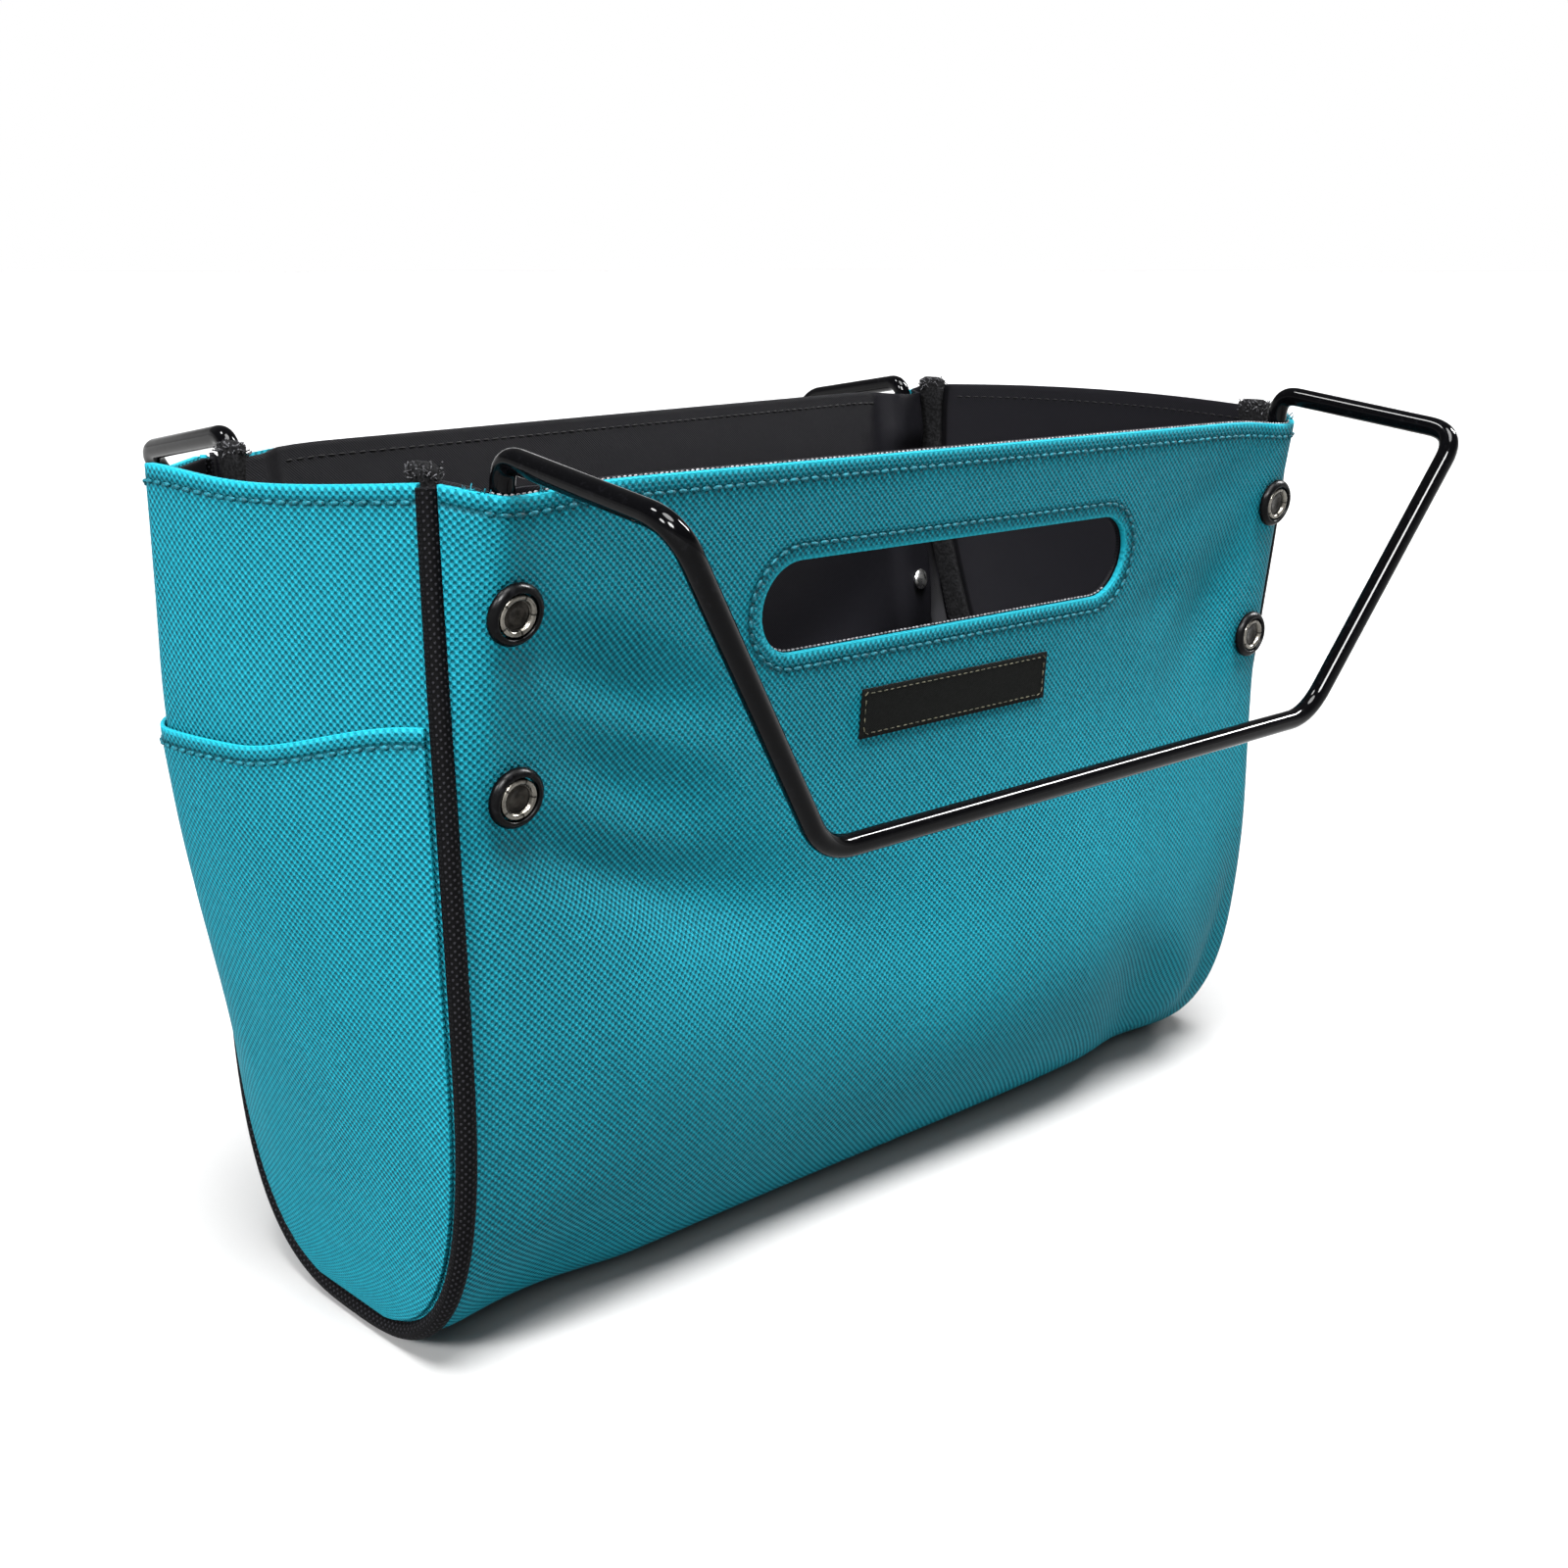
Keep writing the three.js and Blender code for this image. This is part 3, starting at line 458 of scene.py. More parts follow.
def edge_column(end, face, run, inset):
    edge = seam_point(end, face, run, CLOTH / 2)
    middle = face_point(face, run, np.full_like(run, end * (SEAM_X - CORNER_WIDTH)))
    slope = np.hypot(*(middle - edge)[..., 1:].T) * math.pi / 2 / CORNER_WIDTH
    return end * (SEAM_X - inset / np.hypot(1, slope))


def wrap_pattern(inset, start=0.0):
    ways = wrap_rows.copy()
    ways[[0, -1]] = start, 2 * SIDE_LENGTH - start
    run = np.minimum(ways, 2 * SIDE_LENGTH - ways)
    front = ways <= SIDE_LENGTH
    left, right = (
        np.where(front, edge_column(end, -1, run, inset), edge_column(end, 1, run, inset))
        for end in END_NAMES)
    share = (wrap_columns + 1) / 2
    x = left[:, None] + (right - left)[:, None] * share[None, :]
    return flat_grid(x, ways[:, None])


def wrap_hem(flat):
    rim = np.minimum(flat[:, 1], 2 * SIDE_LENGTH - flat[:, 1])
    slots = [hole_distance(hole, flat)[0] for hole in slot_holes]
    return np.minimum.reduce([rim, *slots])


body_panel = cloth_object(
    "body_panel_cloth", wrap_pattern(EDGE_INSET), lambda flat: wrap_point(flat[..., 1], flat[..., 0]), CLOTH,
    slot_holes + rivet_holes, wrap_hem)
print("wrap faces:", len(body_panel.data.polygons))

# %% [markdown]
# The black lining is a second strip inside the first, pushed in where the legs of the hooks lie between the
# two. It reaches a little further into the end seams, so that no gap shows through the hand slots.

# %% The lining of the wrap
LINING = 0.001
LINING_INSET = 0.0026
WRAP_LINING_INSET = 0.0012
LINING_BELOW_RIM = -0.0005
END_LINING_BELOW_RIM = {-1: 0.0004, 1: -0.0005}
LINING_GAP = 0.0007
TAB_POCKET = 0.0032
LEG_POCKET = 0.0059
LEG_WIDER_Z = (0.190, 0.200)
POCKET_INNER_X = (0.128, 0.138)
POCKET_OUTER_X = (0.1484, 0.152)
POCKET_FOOT_Z = (0.104, 0.134)


def leg_pocket(height, x):
    reach = np.abs(x)
    across = smooth(reach, *POCKET_INNER_X) - smooth(reach, *POCKET_OUTER_X)
    depth = blend(TAB_POCKET, LEG_POCKET, smooth(height, *LEG_WIDER_Z))
    return depth * across * smooth(height, *POCKET_FOOT_Z)


def lining_point(flat):
    way, x = flat[..., 1], flat[..., 0]
    run = np.minimum(way, 2 * SIDE_LENGTH - way)
    points = wrap_point(way, x) - wrap_normal(way, x) * (CLOTH + LINING_GAP)
    points[..., 1] -= np.where(way <= SIDE_LENGTH, -1, 1) * leg_pocket(level_height(run), x)
    return points


body_lining = cloth_object(
    "body_lining_cloth", wrap_pattern(WRAP_LINING_INSET, LINING_BELOW_RIM), lining_point, LINING,
    slot_holes + rivet_holes, wrap_hem)
print("lining faces:", len(body_lining.data.polygons))

# %% [markdown]
# Each end of the bag is a U-shaped panel between the two seams, bowed out towards the rim. The left one has
# a crest near its back, where the stiff cloth breaks into a fold. A second layer over its lower part is an
# open pocket with a hem. They are made as the wrap is: a grid of places, bent by one function.

# %% The end panels, their linings and pockets
BOW = {-1: 0.025, 1: 0.008}
BOW_PEAK = {-1: 0.5, 1: 0.0}
BOW_FULL_Z = 0.170
RIM_DIP = {-1: 0.0022, 1: -0.002}
CREST_RISE = {-1: 0.0035, 1: 0.0}
CREST_WIDTH = 0.3
CREST_POWER = {-1: 1.55, 1: 2.0}
CREST_Z = (0.09, 0.20)
POCKET_INSET = 0.0029
POCKET_CLOTH = 0.0010
POCKET_GAP = 0.0004
POCKET_TOP = 0.162
POCKET_DROP = 0.0088
HEM_SWELL = 0.0003
HEM_SWELL_WIDTH = 0.012
GUSSET_STEPS = 44
ACROSS_STEP = 0.004
END_HALF = 0.055
END_TURN = math.radians(80)
END_BOTTOM = STRAIGHT + np.interp(END_TURN, turn_steps, round_lengths)


def gusset_point(end, run, across, inset):
    height = level_height(run)
    bow = BOW[end] * smooth(height, 0, BOW_FULL_Z)
    power = blend(2.0, CREST_POWER[end], smooth(height, *CREST_Z))
    front = seam_point(end, -1, run, 0.0)[..., 1]
    back = seam_point(end, 1, run, 0.0)[..., 1]
    peak = blend(front, back, (BOW_PEAK[end] + 1) / 2)
    near = seam_point(end, -1, run, -inset / np.hypot(1, bow * 2 / (peak - front)))
    far = seam_point(end, 1, run, -inset / np.hypot(1, bow * 2 / (back - peak)))
    share = (across + 1) / 2
    y = blend(near[..., 1], far[..., 1], share)
    from_peak = np.where(y < peak, (peak - y) / (peak - front), (y - peak) / (back - peak))
    from_peak = np.minimum(np.abs(from_peak), 1)
    rise = CREST_RISE[end] * bell(from_peak, CREST_WIDTH) - RIM_DIP[end] * (1 - from_peak**2)
    z = blend(near[..., 2], far[..., 2], share) + rise * rim_share(height)
    return points_of(end * (SEAM_X + CLOTH / 2 + bow * (1 - from_peak**power)), y, z)


def gusset_normal(end, run, across, inset):
    def at(run_step, across_step):
        return gusset_point(end, run + run_step, across + across_step, inset)

    down = at(NORMAL_STEP, 0) - at(-NORMAL_STEP, 0)
    right = at(0, ACROSS_STEP) - at(0, -ACROSS_STEP)
    normal = np.cross(down, right)
    return unit(normal * np.sign(normal[..., :1]) * end)


def end_pattern(rows):
    across = np.linspace(-1, 1, GUSSET_STEPS + 1) * END_HALF
    return flat_grid(across, rows[:, None])


def end_place(end, inset, out=0.0, hem_swell=0.0, slope=0.0, top=0.0):
    def place(flat):
        across = flat[..., 0] / END_HALF
        fade = np.clip((END_BOTTOM - flat[..., 1]) / (END_BOTTOM - top), 0, 1)
        run = flat[..., 1] + slope * smooth(across, -1, 0) * fade
        swell = hem_swell * (1 - across**2) * bell(flat[..., 1] - top, HEM_SWELL_WIDTH)
        lift = gusset_normal(end, run, across, inset) * (out + swell)[..., None]
        return gusset_point(end, run, across, inset) + lift
    return place


def hem_from(top):
    return lambda flat: flat[:, 1] - top


END_STEPS = [0.0012, 0.003, 0.003]
HEM_ROWS = {"end": 0.006, "pocket": 0.009}
pocket_start = RIM_Z - POCKET_TOP
end_rows = spaced([0.0, HEM_ROWS["end"], STRAIGHT, END_BOTTOM], END_STEPS)
pocket_rows = spaced([pocket_start, pocket_start + HEM_ROWS["pocket"], STRAIGHT, END_BOTTOM], END_STEPS)


def pocket_place(end, above):
    out = POCKET_GAP + POCKET_CLOTH + above
    return end_place(end, POCKET_INSET, out, HEM_SWELL, POCKET_DROP, pocket_start)


gussets, gusset_linings, pockets = {}, {}, {}
for end, name in END_NAMES.items():
    lining_rows = end_rows.copy()
    lining_rows[0] = END_LINING_BELOW_RIM[end]
    gussets[end] = cloth_object(
        f"gusset_{name}_cloth", end_pattern(end_rows), end_place(end, EDGE_INSET), CLOTH,
        hem=hem_from(0.0), flip=end < 0)
    gusset_linings[end] = cloth_object(
        f"gusset_lining_{name}_cloth", end_pattern(lining_rows),
        end_place(end, LINING_INSET, -CLOTH - LINING_GAP), LINING, flip=end < 0)
    pockets[end] = cloth_object(
        f"pocket_{name}_cloth", end_pattern(pocket_rows), pocket_place(end, 0.0), POCKET_CLOTH,
        hem=hem_from(pocket_start), flip=end < 0)
print("end panels:", [len(piece.data.polygons) for piece in gussets.values()])

# %% [markdown]
# Several pieces are bars that follow a path: the wire of the hooks and the tape that binds the inner seams.
# A ring of points is carried along the path and turned as little as possible, and what twist is left at the
# end is shared out. The ring can be round or flattened, so one helper makes wire, flat tabs and tape.

# %% Bars along a path
def tube_faces(rings, sides):
    index = np.arange(rings * sides).reshape(rings, sides)
    beside = np.roll(index, -1, axis=1)
    return np.stack([index[:-1], beside[:-1], beside[1:], index[1:]], axis=-1).reshape(-1, 4).tolist()


def bar_object(name, path, first_side, last_side, wide, thick, sides, roundness=2.0):
    path = np.asarray(path, float)
    count = len(path)
    wide, thick = np.broadcast_to(wide, count), np.broadcast_to(thick, count)
    along = unit(np.gradient(path, axis=0))
    frames = []
    side = np.asarray(first_side, float)
    for step in along:
        side = unit(side - step * np.dot(side, step))
        frames.append(side)
    frames = np.array(frames)
    last_across = np.cross(along[-1], frames[-1])
    twist = math.atan2(np.dot(last_side, last_across), np.dot(last_side, frames[-1]))
    turns = np.linspace(0, twist, count)[:, None]
    across = np.cross(along, frames)
    turned = frames * np.cos(turns) + across * np.sin(turns)
    across = np.cross(along, turned)
    angles = 2 * math.pi * (np.arange(sides) + 0.5) / sides
    power = 2 / roundness
    ring_wide = np.sign(np.cos(angles)) * np.abs(np.cos(angles)) ** power
    ring_thick = np.sign(np.sin(angles)) * np.abs(np.sin(angles)) ** power
    rings = (
        path[:, None, :]
        + turned[:, None, :] * (wide[:, None] * ring_wide)[..., None]
        + across[:, None, :] * (thick[:, None] * ring_thick)[..., None]
    )
    caps = [list(range(sides))[::-1], list(range((count - 1) * sides, count * sides))]
    length = np.concatenate([[0], np.cumsum(np.linalg.norm(np.diff(path, axis=0), axis=1))])
    uv = flat_grid(np.arange(sides) / sides, length[:, None]).reshape(-1, 2)
    return mesh_object(name, rings.reshape(-1, 3), tube_faces(count, sides) + caps, uv)


print("faces round a short square bar:", len(tube_faces(3, 4)))

# %% [markdown]
# Each hook is one wire: a flat tab between cloth and lining, up over the rim, outward, down to a lower bar
# and back the same way on the other side. Only its corners are given. Each corner is replaced by a curve
# that starts and ends a little before it, as a bending tool leaves it. The back hook sits a little askew.

# %% The wire hooks
WIRE_RADIUS = 0.00275
TAB_HALF_WIDTH = 0.004
TAB_HALF_THICK = 0.0011
TAB_GAP = 0.001
LEG_GAP = 0.0004
TAB_DEPTH = CLOTH + TAB_GAP + TAB_HALF_THICK
LEG_DEPTH = CLOTH + LEG_GAP + WIRE_RADIUS
LEG_HEIGHTS = spaced([0.137, 0.196, 0.211], [0.004, 0.003])
LEG_ROUND_Z = (0.196, 0.206)
WIRE_SIDES = 24
HOOK_TOP = {"x": LEG_X, "y": -0.0589, "z": 0.2194, "sway": 0, "bend": 0.006}
HOOK_OUTER = {"x": 0.1475, "y": -0.117, "z": 0.211, "sway": 1, "bend": 0.009}
HOOK_LOWER = {"x": 0.0967, "y": -0.105, "z": 0.1335, "sway": 1, "bend": 0.009}
HOOK_SKEW = {-1: 0.0, 1: -0.016}
HOOK_DROP = {-1: 0.0, 1: 0.003}
BEND_STEPS = 14


def leg_path(face, side):
    lower, upper = RIVET_ROWS["lower"], RIVET_ROWS["upper"]
    slope = (upper["x"] - lower["x"]) / (upper["z"] - lower["z"])
    reach = lower["x"] + (LEG_HEIGHTS - lower["z"]) * slope
    x = np.array([face_place(face, (side * r, -HOOK_PLANE_Y, h))[0] for r, h in zip(reach, LEG_HEIGHTS)])
    roundness = smooth(LEG_HEIGHTS, *LEG_ROUND_Z)
    depth = blend(TAB_DEPTH, LEG_DEPTH, roundness)
    way = way_at(face, LEG_HEIGHTS)
    return wrap_point(way, x) - wrap_normal(way, x) * depth[:, None], roundness


def bend(before, corner, after, reach):
    start = corner + unit(before - corner) * reach
    finish = corner + unit(after - corner) * reach
    share = np.linspace(0, 1, BEND_STEPS + 1)[:, None]
    return start * (1 - share) ** 2 + 2 * corner * share * (1 - share) + finish * share**2


def hook_object(face):
    def spot(row, side):
        x = side * row["x"] + row["sway"] * HOOK_SKEW[face]
        return face_place(face, (x, row["y"], row["z"] - HOOK_DROP[face]))

    first, first_round = leg_path(face, -1)
    last, last_round = leg_path(face, 1)
    rows = [HOOK_TOP, HOOK_OUTER, HOOK_LOWER]
    order = [(row, -1) for row in rows] + [(row, 1) for row in reversed(rows)]
    corners = [first[-1], *(spot(row, side) for row, side in order), last[-1]]
    bends = [
        bend(corners[k], corners[k + 1], corners[k + 2], row["bend"]) for k, (row, side) in enumerate(order)
    ]
    path = np.concatenate([first, *bends, last[::-1]])
    roundness = np.concatenate([first_round, np.ones(len(path) - len(first) - len(last)), last_round[::-1]])
    wide = blend(TAB_HALF_WIDTH, WIRE_RADIUS, roundness)
    thick = blend(TAB_HALF_THICK, WIRE_RADIUS, roundness)
    side = face_place(face, (1, 0, 0)) - face_place(face, (0, 0, 0))
    return bar_object(f"hook_{FACE_NAMES[face]}_wire", path, side, -side, wide, thick, WIRE_SIDES)


hooks = {face: hook_object(face) for face in FACE_NAMES}
print("hook faces:", [len(piece.data.polygons) for piece in hooks.values()])

# %% [markdown]
# The seam allowance inside the bag is bound with a black tape. It lies flat beside the end lining, and its
# four cut ends stand a little above the rim, swollen where they were cut. It is a bar with a rounded, flat
# section.

# %% The binding tape
BINDING_INSET = 0.0029
BINDING_WIDTH = 0.0096
BINDING_THICK = 0.0022
BINDING_FROM_SEAM = 0.0042
BINDING_ABOVE_RIM = 0.0024
BINDING_STEPS = [0.006, 0.004]
BINDING_SIDES = 16
BINDING_SQUARENESS = 4.0
STUB_DOME = np.array([0, 0, 0.0012])
STUB_SHOULDER = 1.12
STUB_TIP = 0.62
STUB_BULGE = 6
STUB_LEAST_THICK = 0.7


def seam_row(end, steps):
    """The end seam, from the front rim under the foot to the back rim."""
    runs = spaced([0.0, STRAIGHT, SIDE_LENGTH], steps)
    return np.concatenate([seam_point(end, -1, runs, 0.0), seam_point(end, 1, runs[-2::-1], 0.0)])


bindings = {}
for end, name in END_NAMES.items():
    seam = seam_row(end, BINDING_STEPS)
    seam[[0, -1], 2] += BINDING_ABOVE_RIM
    inward = unit(np.cross(unit(np.gradient(seam, axis=0)), [-1.0, 0, 0]))
    path = seam + inward * (BINDING_INSET + BINDING_WIDTH / 2) - [end * BINDING_FROM_SEAM, 0, 0]
    path = np.concatenate([path[:1] + STUB_DOME, path, path[-1:] + STUB_DOME])
    wide = np.ones(len(path))
    wide[[1, -2]] = STUB_SHOULDER
    wide[[0, -1]] = STUB_TIP
    thick = np.maximum(1 + (wide - 1) * STUB_BULGE, STUB_LEAST_THICK)
    bindings[end] = bar_object(
        f"binding_{name}_tape", path, inward[0], inward[-1], BINDING_WIDTH / 2 * wide,
        BINDING_THICK / 2 * thick, BINDING_SIDES, BINDING_SQUARENESS)
print("binding faces:", [len(piece.data.polygons) for piece in bindings.values()])

# %% [markdown]
# Geometry Nodes make what follows a path or repeats. A tree is built here with two small helpers: one adds a
# node and fills its inputs, by value or by link, and one runs the tree on an object and keeps the result as
# a plain mesh. The tree's inputs are set by their identifiers, before the object is first evaluated.

# %% Helpers for node trees
def add_node(tree, kind, inputs=None, **settings):
    node = tree.nodes.new(kind)
    for key, value in settings.items():
        setattr(node, key, value)
    for key, value in (inputs or {}).items():
        socket = node.inputs[key]
        if isinstance(value, bpy.types.NodeSocket):
            tree.links.new(value, socket)
        else:
            socket.default_value = value
    return node


def new_geometry_tree(name, inputs):
    tree = bpy.data.node_groups.new(name, "GeometryNodeTree")
    tree.interface.new_socket("Geometry", in_out="INPUT", socket_type="NodeSocketGeometry")
    for label, kind in inputs:
        tree.interface.new_socket(label, in_out="INPUT", socket_type=kind)
    tree.interface.new_socket("Geometry", in_out="OUTPUT", socket_type="NodeSocketGeometry")
    return tree, tree.nodes.new("NodeGroupInput"), tree.nodes.new("NodeGroupOutput")


def end_tree(tree, source, result, geometry):
    """Ends a tree: what it set out is made real, shaded smooth and given its finish."""
    real = add_node(tree, "GeometryNodeRealizeInstances", {"Geometry": geometry}).outputs[0]
    soft = add_node(tree, "GeometryNodeSetShadeSmooth", {"Geometry": real}).outputs[0]
    done = add_node(
        tree, "GeometryNodeSetMaterial", {"Geometry": soft, "Material": source.outputs["Material"]})
    tree.links.new(done.outputs[0], result.inputs[0])
    return tree


def way_out(tree):
    """The way straight off the cloth, as path_object keeps it."""
    return add_node(
        tree, "GeometryNodeInputNamedAttribute", {"Name": "out"}, data_type="FLOAT_VECTOR").outputs[0]


def run_tree(obj, tree, values):
    modifier = obj.modifiers.new(tree.name, "NODES")
    modifier.node_group = tree
    for item in tree.interface.items_tree:
        if item.in_out == "INPUT" and item.name in values:
            modifier[item.identifier] = values[item.name]
    return plain_mesh(obj)


def path_object(name, points, out, closed=False):
    """A chain of edges; out is the way straight off the cloth at each point."""
    points = np.asarray(points)
    edges = [(k, k + 1) for k in range(len(points) - 1)]
    if closed:
        edges.append((len(points) - 1, 0))
    mesh = bpy.data.meshes.new(name)
    mesh.from_pydata((points + ORIGIN).tolist(), edges, [])
    layer = mesh.attributes.new("out", "FLOAT_VECTOR", "POINT")
    layer.data.foreach_set("vector", np.asarray(out, np.float32).ravel())
    return put(name, mesh)


def join(name, pieces):
    """Makes one object of several that have the same finish."""
    with bpy.context.temp_override(active_object=pieces[0], selected_editable_objects=pieces):
        bpy.ops.object.join()
    pieces[0].name = name
    pieces[0].data.name = name
    return pieces[0]


print("tree helpers ready")

# %% [markdown]
# A finish is a shader tree. Cloth reads its UV map, which is the flat pattern in metres, so a thread has the
# same size everywhere. Small helpers add a sum, a mix of colours, a noise, a wave or bumps. What is the same
# all over a surface is set on the shader's own sockets, and only what varies is linked.

# %% Helpers for finishes
def new_finish(name, **sockets):
    material = bpy.data.materials.new(name)
    material.use_nodes = True
    tree = material.node_tree
    shader = tree.nodes["Principled BSDF"]
    for label, value in sockets.items():
        shader.inputs[label.replace("_", " ")].default_value = value
    return material, tree, shader


def calc(tree, operation, first, second=0.0):
    return add_node(tree, "ShaderNodeMath", {0: first, 1: second}, operation=operation).outputs[0]


def plus(tree, first, second):
    return calc(tree, "ADD", first, second)


def minus(tree, first, second):
    return calc(tree, "SUBTRACT", first, second)


def times(tree, first, second):
    return calc(tree, "MULTIPLY", first, second)


def mix_colour(tree, share, first, second):
    node = add_node(tree, "ShaderNodeMix", {0: share, 6: first, 7: second}, data_type="RGBA")
    return node.outputs[2]


def paint(tree, shader, share, dark, bright):
    tree.links.new(mix_colour(tree, share, dark, bright), shader.inputs["Base Color"])


def spread(tree, value, low, high, to_low=0.0, to_high=1.0):
    inputs = {"Value": value, "From Min": low, "From Max": high, "To Min": to_low, "To Max": to_high}
    return add_node(tree, "ShaderNodeMapRange", inputs, interpolation_type="SMOOTHSTEP").outputs[0]


def noise(tree, scale, detail=2.0, place=None):
    if place is None:
        place = add_node(tree, "ShaderNodeTexCoord").outputs["Object"]
    inputs = {"Vector": place, "Scale": scale, "Detail": detail}
    return add_node(tree, "ShaderNodeTexNoise", inputs).outputs[0]


def gloss(tree, shader, scale, smoothest, roughest):
    """Lets the roughness waver between two values."""
    rough = spread(tree, noise(tree, scale, 3.0), 0.3, 0.7, smoothest, roughest)
    tree.links.new(rough, shader.inputs["Roughness"])


def kept_number(tree, name):
    return add_node(tree, "ShaderNodeAttribute", attribute_name=name).outputs["Fac"]


def pattern_place(tree):
    uv = add_node(tree, "ShaderNodeUVMap", uv_map="pattern").outputs[0]
    parts = add_node(tree, "ShaderNodeSeparateXYZ", {0: uv})
    return parts.outputs[0], parts.outputs[1]


def wave(tree, value, pitch):
    return calc(tree, "COSINE", times(tree, value, 2 * math.pi / pitch))


def bumps(tree, shader, height, distance, strength=1.0):
    node = add_node(tree, "ShaderNodeBump", {"Height": height, "Distance": distance, "Strength": strength})
    tree.links.new(node.outputs[0], shader.inputs["Normal"])


print("finishes before the first one is made:", len(bpy.data.materials))

# %% [markdown]
# The outer cloth is a coarse basket weave of teal yarn. The knots where the yarns cross get a painted
# highlight, and the gaps between them get painted shade. Two cosines, one along each diagonal, give knots
# that are set off from row to row; a fine noise makes them uneven. The hem distance draws the smooth fold,
# with a painted highlight along it, and the groove of the stitches, with painted shade in it.

# %% The teal cloth
WEAVE_PITCH = 0.00188
STITCH_INSET = 0.0039
GROOVE_WIDTH = 0.0009
TEAL_GAP_SHADE = (0.0008, 0.037, 0.052, 1)
TEAL_YARN = (0.0026, 0.120, 0.161, 1)
TEAL_KNOT_HIGHLIGHT = (0.019, 0.29, 0.365, 1)
TEAL_PATCH = (0.005, 0.165, 0.218, 1)
TEAL_FOLD_HIGHLIGHT = (0.007, 0.22, 0.28, 1)
TEAL_GROOVE_SHADE = (0.001, 0.022, 0.030, 1)


def teal_finish():
    material, tree, shader = new_finish("teal_cloth", Roughness=0.6, Specular_IOR_Level=0.035)
    across, along = pattern_place(tree)
    falling = wave(tree, minus(tree, across, along), WEAVE_PITCH)
    rising = wave(tree, plus(tree, across, along), WEAVE_PITCH)
    knots = plus(tree, times(tree, falling, 0.58), times(tree, rising, 0.42))
    uneven = times(tree, minus(tree, noise(tree, 700.0), 0.5), 0.7)
    knots = plus(tree, knots, uneven)
    raised = spread(tree, knots, -0.95, 0.35)
    # Painted shade: the gaps between the knots are darkened.
    gap_shaded_yarn = mix_colour(tree, raised, TEAL_GAP_SHADE, TEAL_YARN)
    # Painted highlight: the tops of the knots are lightened towards a pale teal.
    knot_highlight = times(tree, spread(tree, knots, 0.45, 1.15), 0.55)
    woven = mix_colour(tree, knot_highlight, gap_shaded_yarn, TEAL_KNOT_HIGHLIGHT)
    patches = spread(tree, noise(tree, 22.0, 3.0), 0.3, 0.7)
    tint = mix_colour(tree, times(tree, patches, 0.12), woven, TEAL_PATCH)
    hem = kept_number(tree, "hem")
    fold_line = spread(tree, hem, 0.0003, 0.0015, 1.0, 0.0)
    # Painted highlight: the cloth is lightened along the folded edge of each hem.
    fold_highlighted = mix_colour(tree, times(tree, fold_line, 0.6), tint, TEAL_FOLD_HIGHLIGHT)
    # Painted shade: the cloth is darkened in the groove of each stitch row, which also sinks the bumps.
    off_seam = calc(tree, "DIVIDE", minus(tree, hem, STITCH_INSET), GROOVE_WIDTH)
    groove = calc(tree, "EXPONENT", times(tree, times(tree, off_seam, off_seam), -1.0))
    paint(tree, shader, times(tree, groove, 0.8), fold_highlighted, TEAL_GROOVE_SHADE)
    flat_edge = times(tree, raised, minus(tree, 1.0, times(tree, fold_line, 0.7)))
    height = minus(tree, flat_edge, times(tree, groove, 1.2))
    bumps(tree, shader, height, 0.0005, 0.9)
    return material


TEAL = teal_finish()
print("teal nodes:", len(TEAL.node_tree.nodes))

# %% [markdown]
# The lining is a thin black satin. Its twill is so fine that only slanted lines show, and it is soft enough
# to crease a little, which a low, broad noise gives.

# %% The black lining
def lining_finish():
    material, tree, shader = new_finish("black_lining", Roughness=0.5, Specular_IOR_Level=0.05)
    across, along = pattern_place(tree)
    twill = wave(tree, plus(tree, across, along), 0.0009)
    cross = wave(tree, minus(tree, along, across), 0.0006)
    lines = spread(tree, plus(tree, twill, times(tree, cross, 0.5)), -1.2, 1.2)
    paint(tree, shader, lines, (0.0014, 0.0014, 0.0019, 1), (0.0070, 0.0068, 0.0088, 1))
    creases = times(tree, noise(tree, 60.0, 4.0), 6.0)
    bumps(tree, shader, plus(tree, lines, creases), 0.00007, 0.6)
    return material


LINING_BLACK = lining_finish()
print("lining nodes:", len(LINING_BLACK.node_tree.nodes))

# %% [markdown]
# The wire is dipped in a thick glossy black coat, which pools a little, so its gloss wavers. The rivets are
# dark plated steel with a notched ring, and sit in black washers with a few rubbed spots. The notches are
# drawn only as dark marks of painted shade, and the hollow dish inside the ring is darkened with painted
# shade. Their inner heads are bright. Each point of a rivet keeps its own place, which tells the two heads
# apart.

# %% The metal finishes
NOTCHES = 5
INNER_HEAD_Z = (-0.0065, -0.0055)
RING_RADIUS = (0.0032, 0.0037)


def wire_finish():
    material, tree, shader = new_finish("black_wire", Specular_IOR_Level=0.06)
    gloss(tree, shader, 160.0, 0.05, 0.10)
    specks = spread(tree, noise(tree, 700.0, 2.0), 0.55, 0.75)
    paint(tree, shader, specks, (0.0008, 0.0008, 0.001, 1), (0.002, 0.002, 0.0025, 1))
    bumps(tree, shader, noise(tree, 240.0, 2.0), 0.0001, 0.25)
    return material


